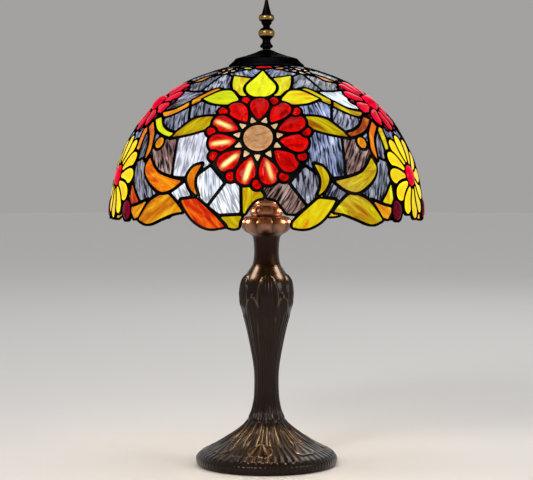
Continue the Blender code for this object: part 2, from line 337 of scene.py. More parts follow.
@dataclass
class Dome:
    """The shade's outer surface, a superellipse turned about Z, and its flat plan.

    A place on the plan is (azimuth in radians, latitude), where latitude grows by arc length over radius,
    so that the plan keeps angles and one plan unit is worth the local radius in millimetres.

    Attributes:
        radius: Radius of the rim.
        spring_z: Height where the curve starts.
        rise: Height of the whole curve above that.
        power: How square the curve is; 2 is an ellipse.
        crown_radius: Radius of the hole at the crown.
        foot_z: Height of the lowest glass.
        table: Heights, radii, arc lengths and latitudes from the rim to the crown.
    """

    radius: float = 203.0
    spring_z: float = 318.0
    rise: float = 203.0
    power: float = 2.15
    crown_radius: float = 46.0
    foot_z: float = 296.0
    table: Array = field(init=False)

    def __post_init__(self) -> None:
        """Tabulates height, radius, arc length and latitude from the rim to the crown."""
        steps = 3000
        angle = np.linspace(0, math.pi / 2 * 0.97, steps)
        top = self.spring_z + self.rise * np.sin(angle) ** (2 / self.power)
        out = self.radius * np.cos(angle) ** (2 / self.power)
        height = np.concatenate([[self.foot_z], top])
        radius = np.concatenate([[self.radius], out])
        stretch = np.hypot(np.diff(height), np.diff(radius))
        middle = (radius[1:] + radius[:-1]) / 2
        arc = np.concatenate([[0], np.cumsum(stretch)])
        latitude = np.concatenate([[0], np.cumsum(stretch / middle)])
        self.table = np.stack([height, radius, arc, latitude])

    @property
    def crown_latitude(self) -> float:
        """Latitude of the crown's hole."""
        _, radius, _, latitude = self.table
        return float(np.interp(-self.crown_radius, -radius[1:], latitude[1:]))

    def latitude(self, height: Array | float) -> Array:
        """Latitude at a height."""
        return np.interp(height, self.table[0], self.table[3])

    def radius_at(self, latitude: Array | float) -> Array:
        """Radius at a latitude."""
        return np.interp(latitude, self.table[3], self.table[1])

    def plan(self, degrees: float, height: float) -> Array:
        """The plan's place for an azimuth in degrees and a height."""
        return np.array([math.radians(degrees), self.latitude(height)])

    def near(self, degrees: float, height: float, across: Array, up: Array) -> Array:
        """Plan places for distances across and up the surface from a middle.

        Args:
            degrees: The middle's azimuth.
            height: The middle's height.
            across: Distances to the right.
            up: Distances up the dome.

        Returns:
            The places, one row each.
        """
        start = np.interp(height, self.table[0], self.table[2])
        arc = start + np.asarray(up, float)
        latitude = np.interp(arc, self.table[2], self.table[3])
        azimuth = math.radians(degrees) + np.asarray(across, float) / self.radius_at(latitude)
        return np.stack([azimuth, latitude], axis=1)

    def surface(self, places: Array, lift: Array | float = 0.0) -> Array:
        """Points in space, in millimetres, at a lift above the dome's surface."""
        height, radius, _, latitude = self.table
        across = places[:, 0]
        up = places[:, 1]
        out = np.interp(up, latitude, radius)
        level = np.interp(up, latitude, height)
        step = SLOPE_STEP
        d_out = np.interp(up + step, latitude, radius) - np.interp(up - step, latitude, radius)
        d_level = np.interp(up + step, latitude, height) - np.interp(up - step, latitude, height)
        length = np.hypot(d_out, d_level)
        out = out + lift * d_level / length
        level = level - lift * d_out / length
        return np.stack([out * np.sin(across), -out * np.cos(across), level], axis=1)


# ----- The glass pattern -----


class Glass(Enum):
    """The glasses that the shade is cut from."""

    RED = "red"
    CRIMSON = "crimson"
    WINE = "wine"
    YELLOW = "yellow"
    LIME = "lime"
    LIME_AMBER = "lime_amber"
    AMBER = "amber"
    ORANGE = "orange"
    FLAME = "flame"
    OLIVE = "olive"
    RUST = "rust"
    SKY = "sky_ripple"
    STONE = "stone_ripple"
    SLATE = "slate_ripple"
    # Grey ripple glass painted near white: a painted reflection of a soft light.
    SNOW = "snow_ripple"
    MAUVE = "mauve_ripple"
    CREAM = "cream"
    TAN = "tan"
    PEACH = "peach"


CAST = {Glass.RED, Glass.CRIMSON, Glass.WINE, Glass.PEACH}


@dataclass(frozen=True)
class Pane:
    """One piece of glass in the pattern, drawn at the edge of what shows of it.

    Attributes:
        name: The piece's name in the pattern.
        glass: Its glass on the right-hand side of a flower.
        corners: Corners as (degrees from the red flower's middle, height).
        sharp: Which corners are pointed; the outline runs smoothly through the others.
        mirrored: Its glass on the left-hand side, where that is another.
        bulge: How far a pressed piece stands up in its middle.
        lean: Direction of the streaks, in degrees from the level.
        painted_highlight: Strength of the painted highlight streak through its middle, where the lamp inside
            shines through.
    """

    name: str
    glass: Glass
    corners: tuple[Point, ...]
    sharp: tuple[int, ...] | None = None
    mirrored: Glass | None = None
    bulge: float = 0.0
    lean: float | None = None
    painted_highlight: float = 0.0


def eased(before: Array, start: Array, end: Array, after: Array, share: Array) -> Array:
    """Points at shares of a smooth line from start to end, which comes from before and goes on to after."""
    return 0.5 * (
        2 * start + (end - before) * share + (2 * before - 5 * start + 4 * end - after) * share**2
        + (3 * start - before - 3 * end + after) * share**3
    )


def smooth_loop(corners: Array, sharp: Iterable[int], steps: int = 7) -> Array:
    """A closed outline through its corners, smooth except at the sharp ones.

    Args:
        corners: The corners, one row each.
        sharp: Numbers of the pointed corners.
        steps: Points for each stretch between two corners.

    Returns:
        The outline's points.
    """
    count = len(corners)
    pointed = set(sharp)
    if len(pointed) == count:
        return corners
    share = np.linspace(0, 1, steps, endpoint=False)[:, None]
    stretches = []
    for number in range(count):
        start = corners[number]
        end = corners[(number + 1) % count]
        before = 2 * start - end if number in pointed else corners[number - 1]
        after = 2 * end - start if (number + 1) % count in pointed else corners[(number + 2) % count]
        stretches.append(eased(before, start, end, after, share))
    return np.concatenate(stretches)


def turned_out(along: Array, side: Array, turn: float) -> Array:
    """Distances across and up, for those along a direction, in degrees clockwise from up, and beside it."""
    tilt = math.radians(turn)
    return np.stack([along * math.sin(tilt) + side * math.cos(tilt),
                     along * math.cos(tilt) - side * math.sin(tilt)], axis=1)


TEARDROP_WIDEST = 0.770  # the greatest value of the sines that shape a petal


def teardrop(inner: float, outer: float, width: float, turn: float, steps: int = 30) -> Array:
    """A petal, pointed towards the flower's middle and round outside.

    Args:
        inner: Distance of its point from the middle.
        outer: Distance of its round end.
        width: Its greatest width.
        turn: Its direction, in degrees clockwise from straight up.
        steps: Points round it.

    Returns:
        Distances across and up from the flower's middle, one row each.
    """
    angle = np.linspace(0, 2 * math.pi, steps, endpoint=False)
    along = inner + (outer - inner) * (1 - np.cos(angle)) / 2
    side = width / 2 * np.sin(angle) * np.abs(np.sin(angle / 2)) / TEARDROP_WIDEST
    return turned_out(along, side, turn)


def oval(distance: float, turn: float, half_across: float, half_along: float, steps: int = 24) -> Array:
    """An oval at a distance from a flower's middle, with one axis pointing to it.

    Args:
        distance: Distance of the oval's middle from the flower's.
        turn: Its direction, in degrees clockwise from straight up.
        half_across: Half its size square to that direction.
        half_along: Half its size along it.
        steps: Points round it.

    Returns:
        Distances across and up from the flower's middle, one row each.
    """
    angle = np.linspace(0, 2 * math.pi, steps, endpoint=False)
    return turned_out(distance + half_along * np.cos(angle), half_across * np.sin(angle), turn)


# Pieces of half a repeat, from the red flower's middle at 0 degrees to the yellow one's at 70.5. A piece
# higher up in the list lies over those below it, and takes its share of their edge.
HALF_REPEAT: tuple[Pane, ...] = (
    Pane("upper_leaf", Glass.LIME_AMBER, (
        (10.8, 471.5), (13, 477), (17, 483), (23.5, 482.5), (31, 473), (24, 468), (17, 466), (12.2, 467),
    ), sharp=(0, 4), mirrored=Glass.LIME, lean=8),
    Pane("bud_side", Glass.LIME_AMBER, (
        (8, 499), (22, 502), (18.5, 492), (15.5, 484), (12, 477), (5, 475), (6, 488),
    ), sharp=(0, 1, 4, 5), lean=70),
    Pane("branch_inner", Glass.OLIVE, (
        (22.5, 484.5), (28, 485), (37.5, 471.5), (36, 466), (30, 474), (27, 479),
    ), sharp=(0, 2, 3), mirrored=Glass.AMBER, lean=-30),
    Pane("branch_outer", Glass.OLIVE, (
        (38, 470.5), (45, 461), (53.5, 456.5), (49, 452), (42.5, 457.5), (36.6, 465),
    ), sharp=(0, 2, 5), mirrored=Glass.AMBER, lean=-30),
    Pane("curl_bar", Glass.RUST, (
        (52, 451), (55, 447.5), (49.5, 436.5), (44, 430), (39, 426.5), (37.8, 430.5), (42, 433.5),
        (47, 440),
    ), sharp=(0, 1, 4, 5), mirrored=Glass.LIME, lean=45),
    Pane("olive_leaf", Glass.OLIVE, (
        (20, 450.5), (25, 450.5), (30, 447.5), (34, 438), (38, 425.5), (30, 430), (24, 434.5), (20.5, 438),
    ), sharp=(0, 4, 7), lean=-35),
    Pane("tall_leaf", Glass.ORANGE, (
        (56, 445.5), (57.5, 439), (53, 429), (50.5, 418), (49.5, 405), (49, 398.5), (47.5, 409),
        (48.5, 420), (50.5, 432),
    ), sharp=(0, 1, 5), lean=80),
    Pane("crescent", Glass.OLIVE, (
        (46, 400.5), (47.3, 388), (45, 376), (41, 366), (36.5, 359.5), (32, 363), (28, 372.5), (34, 376.5),
        (39.5, 382), (43, 390),
    ), sharp=(0, 6), mirrored=Glass.ORANGE, lean=35),
    Pane("small_leaf", Glass.OLIVE, (
        (20.8, 393), (24, 389), (25.8, 377), (24.2, 364), (21.2, 355.5), (22.6, 366), (22.8, 378),
    ), sharp=(0, 4), mirrored=Glass.ORANGE, lean=80),
    Pane("rim_leaf", Glass.LIME_AMBER, (
        (21.5, 352), (27.5, 349.5), (25.5, 338.5), (22.5, 326.5), (19, 319), (15.5, 316.5), (11, 319),
        (15, 333),
    ), sharp=(0, 1, 6), mirrored=Glass.FLAME, lean=50),
    Pane("rim_wave", Glass.OLIVE, (
        (26.8, 336), (29.5, 346), (34, 357), (38, 354), (42, 346.5), (45, 335), (47.3, 324.5), (42.5, 320),
        (36, 327.5), (31, 333.5),
    ), sharp=(0, 6), mirrored=Glass.AMBER, lean=-30),
    Pane("rim_wedge", Glass.AMBER, (
        (42.8, 348.5), (48.5, 342), (53.5, 338.5), (50.5, 325.5), (48.3, 327.5),
    ), sharp=(0, 2, 3, 4), lean=-40),
    Pane("green_wedge", Glass.LIME_AMBER, (
        (54, 368), (54.3, 342.5), (48, 346), (51, 356),
    ), sharp=(0, 1, 2), mirrored=Glass.FLAME, lean=70),
    Pane("thin_leaf_upper", Glass.LIME_AMBER, (
        (57.5, 440), (61, 436.5), (60, 424), (58.6, 411), (56.3, 408.5), (57, 424),
    ), sharp=(0, 1, 3, 4), mirrored=Glass.ORANGE),
    Pane("thin_leaf_lower", Glass.ORANGE, (
        (55.2, 404), (57.6, 406), (57.6, 390), (56.3, 375), (54.6, 371), (55, 388),
    ), sharp=(0, 1, 3, 4), mirrored=Glass.YELLOW),
    Pane("crown_leaf", Glass.AMBER, (
        (46, 505.5), (54, 500), (57, 495), (49, 497.5),
    ), sharp=(0, 2, 3), lean=-20),
    Pane("sliver", Glass.SKY, ((0.5, 510), (12, 512.5), (29, 505.5), (20, 501.5), (8, 498.5)), lean=60),
    Pane("upper_stone", Glass.STONE, (
        (33, 504), (35.5, 484), (15, 483.5), (18.5, 492), (22, 502), (28, 504.5),
    ), lean=60),
    Pane("dark_stone", Glass.SLATE, (
        (34, 504), (44, 501), (56, 494), (58, 487), (44, 484.5), (36, 484),
    ), lean=50),
    Pane("branch_stone", Glass.SNOW, (
        (28, 485), (44, 484.5), (58, 487), (58, 470), (56, 455), (45, 462), (37, 471),
    ), mirrored=Glass.STONE, lean=-40),
    Pane("under_branch_inner", Glass.SKY, (
        (12, 468), (31, 474), (37, 469), (34.5, 462), (31.5, 446), (20, 450), (14, 455),
    ), mirrored=Glass.STONE, lean=80),
    Pane("under_branch_outer", Glass.STONE, (
        (37, 467), (54, 455), (50, 436), (38, 428), (31.6, 446),
    ), lean=60),
    Pane("blue_chip", Glass.SKY, ((43, 428), (52, 440), (51, 425), (47, 417))),
    Pane("big_ripple", Glass.SKY, (
        (19, 438), (30, 430), (33.5, 424), (31.8, 379), (24, 378), (17, 395), (17, 420),
    ), mirrored=Glass.SNOW, lean=88),
    Pane("mauve_ripple", Glass.MAUVE, (
        (34, 424), (41, 424), (48, 412), (46, 400), (40, 384), (31.8, 378),
    ), lean=65),
    Pane("small_stone", Glass.SLATE, (
        (26.5, 374), (36, 361), (30, 348), (23.5, 351),
    ), mirrored=Glass.SNOW, lean=60),
    Pane("leaf_stone", Glass.STONE, (
        (17.6, 391), (22, 392), (22.5, 372), (21, 352), (17.6, 345), (12, 371),
    ), mirrored=Glass.SNOW, lean=80),
    Pane("low_stone", Glass.MAUVE, (
        (0.2, 368), (8, 373), (13, 370), (17.6, 346), (13, 334.5), (5.0, 336), (0.2, 346),
    ), mirrored=Glass.SNOW, lean=65),
    Pane("rim_strip", Glass.OLIVE, (
        (5.2, 338.5), (13.2, 334.5), (12.2, 325), (10.0, 319), (7.4, 317), (5.4, 320),
    ), sharp=(0, 1, 5), lean=30),
    Pane("tall_stone", Glass.SLATE, (
        (48, 401), (57, 391), (56, 380), (55, 365), (52, 350), (48, 345), (42, 347), (37, 358), (45, 372),
    ), mirrored=Glass.STONE, lean=60),
    Pane("narrow_stone", Glass.STONE, (
        (56, 446), (59, 437), (58.5, 410), (57, 392), (49, 400), (50, 415), (52, 430),
    ), mirrored=Glass.SLATE, lean=75),
    Pane("flower_stone", Glass.SKY, (
        (58, 440), (70.5, 441), (70.5, 425), (64, 410), (60, 400), (57, 400), (58, 412),
    ), lean=75),
    Pane("side_stone", Glass.SKY, (
        (57, 406), (63, 402), (59, 378), (58, 371), (55, 371), (56, 385),
    ), lean=85),
    Pane("low_blue", Glass.SKY, ((54, 371), (60, 371), (62, 350), (54.6, 344)), lean=85),
    Pane("crown_inner", Glass.SLATE, (
        (0, 519.5), (34, 519.5), (34, 507), (28, 506.5), (12, 512), (0, 511),
    ), lean=10),
    Pane("crown_outer", Glass.SLATE, (
        (34.5, 519.5), (70.5, 519.5), (70.5, 500), (56, 494), (46, 502), (34.5, 505),
    ), lean=20),
)

RED_FLOWER: Point = (0.0, 425.0)
SUN_FLOWER: Point = (70.5, 378.0)
CRIMSON_FLOWER: Point = (70.5, 470.0)
CREAM_FLOWER: Point = (39.0, 510.2)
REPEAT_DEG = 70.5
# Painted highlight: the strength of a bright streak painted on each petal near the left bulb.
PAINTED_HIGHLIGHT_PETALS = {5: 0.45, 6: 1.0, 7: 0.85, 8: 0.65, 9: 0.6}  # petals near the left bulb, by number from the top


@dataclass
class Drawn:
    """A piece's outline laid on the plan.

    Attributes:
        pane: The piece, or None for the open arch in the rim, which only cuts the others.
        outline: The outline's points on the plan.
        glass: The glass on this side.
        limits: Azimuths of the straight seams that the piece stays between, or None.
    """

    pane: Pane | None
    outline: Array
    glass: Glass | None
    limits: Point | None = None


def distance_inside(points: Array, outline: Array) -> Array:
    """Distance of points from a closed outline, negative inside it.

    Args:
        points: The points, one row each.
        outline: The outline's points.

    Returns:
        One distance for each point.
    """
    start = outline
    step = np.roll(outline, -1, axis=0) - start
    reach = points[:, None, :] - start[None, :, :]
    length = np.maximum((step**2).sum(axis=1), 1e-18)
    share = np.clip((reach * step).sum(axis=2) / length, 0, 1)
    gap = reach - share[..., None] * step
    nearest = np.sqrt((gap**2).sum(axis=2).min(axis=1))
    above = start[None, :, 1] > points[:, None, 1]
    end_above = (start + step)[None, :, 1] > points[:, None, 1]
    rise = np.where(step[:, 1] == 0, 1e-18, step[:, 1])
    crossing = start[:, 0] + step[:, 0] * (points[:, None, 1] - start[:, 1]) / rise
    inside = (((above != end_above) & (points[:, None, 0] < crossing)).sum(axis=1) % 2) == 1
    return np.where(inside, -nearest, nearest)


def trace_edges(values: Array, columns: Array, rows: Array) -> list[Array]:
    """Closed lines where a field sampled on a grid changes sign.

    Args:
        values: The field, positive all round the grid's border, as [row, column].
        columns: The grid's positions across.
        rows: The grid's positions up.

    Returns:
        The lines, each anticlockwise round its negative side.
    """
    inside = values < 0
    cells = inside[:-1, :-1] * 1 + inside[:-1, 1:] * 2 + inside[1:, 1:] * 4 + inside[1:, :-1] * 8
    # For each cell pattern, the cell sides (0 low, 1 right, 2 high, 3 left) that a line runs between.
    turns = {
        1: ((0, 3),), 2: ((1, 0),), 3: ((1, 3),), 4: ((2, 1),), 5: ((0, 3), (2, 1)), 6: ((2, 0),),
        7: ((2, 3),), 8: ((3, 2),), 9: ((0, 2),), 10: ((1, 0), (3, 2)), 11: ((1, 2),), 12: ((3, 1),),
        13: ((0, 1),), 14: ((3, 0),),
    }
    follows: dict[tuple[int, int, int], tuple[int, int, int]] = {}
    for row, column in np.argwhere((cells > 0) & (cells < 15)):
        sides = ((row, column, 0), (row, column + 1, 1), (row + 1, column, 0), (row, column, 1))
        for leave, arrive in turns[int(cells[row, column])]:
            follows[sides[leave]] = sides[arrive]
    lines = []
    while follows:
        side, following = follows.popitem()
        loop = [side]
        while following != side and following in follows:
            loop.append(following)
            following = follows.pop(following)
        places = []
        for row, column, upright in loop:
            low = values[row, column]
            if upright:
                share = low / (low - values[row + 1, column])
                places.append((columns[column], rows[row] + share * (rows[row + 1] - rows[row])))
            else:
                share = low / (low - values[row, column + 1])
                places.append((columns[column] + share * (columns[column + 1] - columns[column]), rows[row]))
        lines.append(np.array(places))
    return lines


def area_of(outline: Array) -> float:
    """Signed area of a closed outline, positive when anticlockwise."""
    following = np.roll(outline, -1, axis=0)
    return float((outline[:, 0] * following[:, 1] - following[:, 0] * outline[:, 1]).sum() / 2)


def spread(line: Array, length: Array, wanted: Array) -> Array:
    """Points on a line at the wanted lengths along it."""
    return np.stack([np.interp(wanted, length, line[:, 0]), np.interp(wanted, length, line[:, 1])], axis=1)


def length_along(line: Array) -> Array:
    """Length along a line up to each of its points."""
    return np.concatenate([[0], np.cumsum(np.hypot(*np.diff(line, axis=0).T))])


def even_steps(outline: Array, step: float) -> Array:
    """The closed outline with its points set evenly, about this far apart, and its steps smoothed.

    Args:
        outline: The outline's points.
        step: The distance wanted between points.

    Returns:
        The new points.
    """
    smooth = (np.roll(outline, 1, axis=0) + 2 * outline + np.roll(outline, -1, axis=0)) / 4
    closed = np.concatenate([smooth, smooth[:1]])
    length = length_along(closed)
    count = max(FEWEST_POINTS, int(round(length[-1] / step)))
    return spread(closed, length, np.linspace(0, length[-1], count, endpoint=False))


@dataclass
class Blank:
    """One piece of glass as it is ground: its outline on the plan, and where its faces lie.

    Attributes:
        pane: The piece of the pattern that it is.
        glass: Its glass.
        outline: Its edge at the solder, on the plan.
        sector: The part of the shade that it belongs to.
    """

    pane: Pane
    glass: Glass
    outline: Array
    sector: str = ""


FEWEST_POINTS = 14  # round a piece of glass
GRIND_CELL = 0.9  # size of the grid's cells when a piece is ground


@dataclass
class Pattern:
    """Lays the pieces on the plan and grinds each to the lead lines round it.

    Attributes:
        dome: The shade's shape.
        lead: Width of a lead line.
        step: Spacing of the points along a ground edge.
        smallest: Area under which a piece is left out.
        arch_shift: How far the open arch stands to the right of the red flower's middle, in degrees.
    """

    dome: Dome
    lead: float = 4.3
    step: float = 1.7
    smallest: float = 14.0
    arch_shift: float = 3.0

    def arch(self) -> Drawn:
        """The open arch in the rim under the red flower."""
        half = [
            (7.7, 300), (7.9, 316), (7.8, 324), (6.3, 331), (5.4, 337), (4.0, 343.5), (2.6, 348), (0, 349.5),
        ]
        corners = half + [(-across, height) for across, height in reversed(half[:-1])]
        shift = self.arch_shift
        places = np.array([self.dome.plan(across + shift, height) for across, height in corners])
        return Drawn(None, smooth_loop(places, (0, len(corners) - 1)), None)

    def laid(self, pane: Pane, middle: Point, shape: Array) -> Drawn:
        """Lays a piece that is drawn in millimetres round a flower's middle."""
        return Drawn(pane, self.dome.near(*middle, shape[:, 0], shape[:, 1]), pane.glass)

    def red_flower(self) -> list[Drawn]:
        """The large red flower, with the bud over it and the leaf under it."""
        petals = 11
        eye = Pane("rose_eye", Glass.PEACH, (), bulge=1.6)
        pieces = [self.laid(eye, RED_FLOWER, oval(0, 0, 17.6, 17.6, 40))]
        for number in range(petals):
            turn = 360 / petals * number
            painted_highlight = PAINTED_HIGHLIGHT_PETALS.get(number, 0.0)
            petal = Pane("rose_petal", Glass.RED, (), bulge=3.4, lean=90 - turn, painted_highlight=painted_highlight)
            pieces.append(self.laid(petal, RED_FLOWER, teardrop(26.5, 61.5, 22.5, turn)))
            halfway = turn + 180 / petals
            bead = Pane("rose_bead", Glass.RED, (), bulge=3.6)
            pieces.append(self.laid(bead, RED_FLOWER, oval(59.5, halfway, 5.4, 5.4, 20)))
            chip = turned_out(np.array([22.6, 22.6, 31.5]), np.array([-4.6, 4.6, 0.0]), halfway)
            pieces.append(self.laid(Pane("rose_chip", Glass.TAN, ()), RED_FLOWER, chip))
        crown = Pane("crown_jewel", Glass.RED, (), bulge=1.5)
        bud = Pane("bud", Glass.LIME, (
            (0, 508.5), (4.2, 501.5), (8.6, 491), (7.6, 482), (3.2, 475.5), (-3.2, 475.5), (-7.6, 482),
            (-8.6, 491), (-4.2, 501.5),
        ), (0,), lean=80)
        leaf = Pane("arch_leaf", Glass.OLIVE, (
            (-0.4, 369), (2.2, 356), (1.6, 348), (-3.2, 333), (-4.6, 335), (-5.0, 368.5),
        ), lean=85)
        pieces.append(self.laid(crown, (0, 514.4), oval(0, 0, 10.5, 5.2)))
        return pieces + [self.drawn(bud), self.drawn(leaf)]

    def side_flowers(self) -> list[Drawn]:
        """The crimson flower and the yellow one under it, with the crown piece over them."""
        sun_petals = 12
        crimson_petals = 10
        sun_eye = Pane("sun_eye", Glass.CRIMSON, (), bulge=4.5)
        crimson_eye = Pane("crimson_eye", Glass.CRIMSON, (), bulge=6.5)
        pieces = [
            self.laid(sun_eye, SUN_FLOWER, oval(0, 0, 12.6, 13.2, 32)),
            self.laid(crimson_eye, CRIMSON_FLOWER, oval(0, 0, 12.5, 12.5, 32)),
        ]
        for number in range(sun_petals):
            turn = 360 / sun_petals * number
            petal = Pane("sun_petal", Glass.YELLOW, (), bulge=1.2, lean=90 - turn)
            pieces.append(self.laid(petal, SUN_FLOWER, teardrop(14.5, 54.0, 19.0, turn)))
        for number in range(crimson_petals):
            turn = 360 / crimson_petals * number
            petal = Pane("crimson_petal", Glass.CRIMSON, (), bulge=2.2, lean=90 - turn)
            pieces.append(self.laid(petal, CRIMSON_FLOWER, teardrop(14.0, 45.0, 20.0, turn)))
            bead = Pane("crimson_bead", Glass.WINE, (), bulge=1.5)
            halfway = turn + 180 / crimson_petals
            pieces.append(self.laid(bead, CRIMSON_FLOWER, oval(43.0, halfway, 3.6, 4.4, 16)))
        crown = Pane("crown_amber", Glass.AMBER, ())
        pieces.append(self.laid(crown, (REPEAT_DEG, 513.4), oval(0, 0, 9.5, 4.6)))
        return pieces

    def half_repeat(self) -> list[Drawn]:
        """The pieces between the red flower's middle and the yellow one's."""
        cream_petals = 6
        jewel = Pane("rim_jewel", Glass.WINE, (), bulge=3.5)
        bead = Pane("curl_bead", Glass.AMBER, (), bulge=2.6)
        crown_bead = Pane("crown_bead", Glass.ORANGE, (), mirrored=Glass.LIME)
        pieces = [
            self.laid(jewel, (56.2, 335.5), oval(0, 0, 9.0, 12.0)),
            self.laid(bead, (43.6, 419.0), oval(0, 0, 6.4, 7.0)),
            self.laid(crown_bead, (18.5, 513.2), oval(0, 60, 3.4, 7.0)),
        ]
        for number in range(cream_petals):
            turn = 360 / cream_petals * number + 15
            petal = Pane("cream_petal", Glass.CREAM if number % 2 else Glass.TAN, ())
            pieces.append(self.laid(petal, CREAM_FLOWER, teardrop(1.5, 13.5, 8.4, turn)))
        return pieces + [self.drawn(pane) for pane in HALF_REPEAT]

    def drawn(self, pane: Pane) -> Drawn:
        """Lays a piece that is drawn by its corners."""
        places = np.array([self.dome.plan(*corner) for corner in pane.corners])
        sharp = range(len(places)) if pane.sharp is None else pane.sharp
        return Drawn(pane, smooth_loop(places, sharp), pane.glass)

    def moved(self, piece: Drawn, turn_deg: float, mirrored: bool, other_side: bool = False) -> Drawn:
        """A copy of a piece, turned about the lamp and perhaps mirrored.

        Args:
            piece: The piece.
            turn_deg: Where its red flower's middle goes.
            mirrored: Whether it is mirrored about that middle.
            other_side: Whether it takes its left-hand glass.

        Returns:
            The copy.
        """
        outline = piece.outline.copy()
        if mirrored:
            outline[:, 0] *= -1
        outline[:, 0] += math.radians(turn_deg)
        glass = piece.glass
        if other_side and piece.pane and piece.pane.mirrored:
            glass = piece.pane.mirrored
        return Drawn(piece.pane, outline, glass)

    def ground(self, order: list[Drawn], wanted: Iterable[int]) -> list[Blank]:
        """Grinds pieces to leave a lead line between them.

        Args:
            order: All the pieces, with the upper ones first.
            wanted: Numbers of the pieces to grind.

        Returns:
            The ground pieces.
        """
        boxes = [(piece.outline.min(axis=0), piece.outline.max(axis=0)) for piece in order]
        blanks = []
        for number in wanted:
            piece = order[number]
            low, high = boxes[number]
            scale = float(self.dome.radius_at((low[1] + high[1]) / 2))
            cell = GRIND_CELL / scale
            columns = np.arange(low[0] - 2 * cell, high[0] + 3 * cell, cell)
            rows = np.arange(low[1] - 2 * cell, high[1] + 3 * cell, cell)
            across, up = np.meshgrid(columns, rows)
            points = np.stack([across.ravel(), up.ravel()], axis=1)
            local = self.dome.radius_at(points[:, 1])
            depth = distance_inside(points, piece.outline) * local
            margin = self.lead / scale * 1.3
            for above in range(number):
                top_low, top_high = boxes[above]
                if (top_low < high + margin).all() and (top_high > low - margin).all():
                    within = (points > top_low - margin) & (points < top_high + margin)
                    close = np.flatnonzero(within.all(axis=1))
                    gap = self.lead - distance_inside(points[close], order[above].outline) * local[close]
                    depth[close] = np.maximum(depth[close], gap)
            if piece.limits is not None:
                depth = np.maximum(depth, (points[:, 0] - piece.limits[1]) * local + self.lead / 2)
                depth = np.maximum(depth, (piece.limits[0] - points[:, 0]) * local + self.lead / 2)
            depth = np.maximum(depth, (points[:, 1] - self.dome.crown_latitude) * local + self.lead * 0.6)
            grid = depth.reshape(across.shape)
            grid[[0, -1], :] = np.maximum(grid[[0, -1], :], 0.1)
            grid[:, [0, -1]] = np.maximum(grid[:, [0, -1]], 0.1)
            for line in trace_edges(grid, columns, rows):
                if area_of(line) * scale**2 > self.smallest:
                    blanks.append(Blank(piece.pane, piece.glass, even_steps(line, self.step / scale)))
        return blanks

    def whole_shade(self) -> list[Blank]:
        """Grinds the pattern once round the shade, and sets each piece's sector."""
        repeat = REPEAT_DEG
        red, side, half = self.red_flower(), self.side_flowers(), self.half_repeat()
        crosses = [self.arch()] + red
        first = len(crosses)
        others = [self.moved(piece, 2 * repeat, False) for piece in crosses] + side
        bounds = ((0.0, 1, False, 0.0, repeat), (2 * repeat, -1, True, repeat, 2 * repeat),
                  (2 * repeat, 1, False, 2 * repeat, 180.0))
        for drawn in half:
            for turn, way, other, low, high in bounds:
                piece = self.moved(drawn, turn, way < 0, other)
                piece.limits = (math.radians(low), math.radians(high))
                others.append(piece)
        mirrored = []
        for piece in others:
            copy = self.moved(piece, 0, True)
            if piece.pane and piece.pane.mirrored:
                copy.glass = piece.pane.mirrored if piece.glass is piece.pane.glass else piece.pane.glass
            if piece.limits:
                copy.limits = (-piece.limits[1], -piece.limits[0])
            mirrored.append(copy)
        blanks = self.ground(crosses, range(1, first))
        for world in (others, mirrored):
            order = crosses + world
            wanted = [number for number in range(first, len(order)) if order[number].pane]
            blanks += self.ground(order, wanted)
        for blank in blanks:
            blank.sector = sector_of(float(np.degrees(blank.outline[:, 0].mean())))
        return blanks


def sector_of(azimuth: float) -> str:
    """The name of the part of the shade at an azimuth, from the red flower's middle, in degrees."""
    half = REPEAT_DEG / 2
    if abs(azimuth) < half:
        return "front"
    side = "right" if azimuth > 0 else "left"
    return side if abs(azimuth) < REPEAT_DEG + half else f"back_{side}"


# ----- Meshes -----


@dataclass
class MeshPile:
    """Gathers closed bodies into one mesh, with a grain map and a tone for each point.

    Attributes:
        points: Points in millimetres, one array for each body.
        faces: Faces as tuples of point numbers, counted through the whole pile.
        grain: Places on the glass sheet for each point.
        tone: A colour factor for each point, and in its alpha the strength of the painted highlight where the
            lamp inside shines through.
        count: How many points it holds.
    """

    points: list[Array] = field(default_factory=list)
    faces: list[tuple[int, ...]] = field(default_factory=list)
    grain: list[Array] = field(default_factory=list)
    tone: list[Array] = field(default_factory=list)
    count: int = 0

    def add(self, points: Array, faces: Iterable[Sequence[int]], grain: Array | None = None,
            tone: Array | None = None) -> None:
        """Adds a body.

        Args:
            points: Its points, in millimetres.
            faces: Its faces, as numbers of its own points.
            grain: Its places on the sheet, or None.
            tone: Its colour factors, or None.
        """
        self.points.append(points)
        self.faces += [tuple(number + self.count for number in face) for face in faces]
        self.grain.append(np.zeros((len(points), 2)) if grain is None else grain)
        self.tone.append(np.tile(PLAIN_TONE, (len(points), 1)) if tone is None else tone)
        self.count += len(points)

    def build(self, name: str, material: Material, sharp: float = 40.0) -> Object:
        """Makes the object.

        Args:
            name: Its name.
            material: Its material.
            sharp: Angle in degrees over which an edge stays sharp.

        Returns:
            The object.
        """
        mesh = bpy.data.meshes.new(name)
        mesh.from_pydata((np.concatenate(self.points) * MM).tolist(), [], self.faces)
        corner = np.empty(len(mesh.loops), np.int32)
        mesh.loops.foreach_get("vertex_index", corner)
        layer = mesh.uv_layers.new(name="grain")
        layer.data.foreach_set("uv", np.concatenate(self.grain)[corner].astype(np.float32).ravel())
        paint = mesh.color_attributes.new(name="tone", type="FLOAT_COLOR", domain="POINT")
        paint.data.foreach_set("color", np.concatenate(self.tone).astype(np.float32).ravel())
        mesh.shade_smooth()
        mesh.set_sharp_from_angle(angle=math.radians(sharp))
        mesh.materials.append(material)
        made = bpy.data.objects.new(name, mesh)
        bpy.context.scene.collection.objects.link(made)
        return made


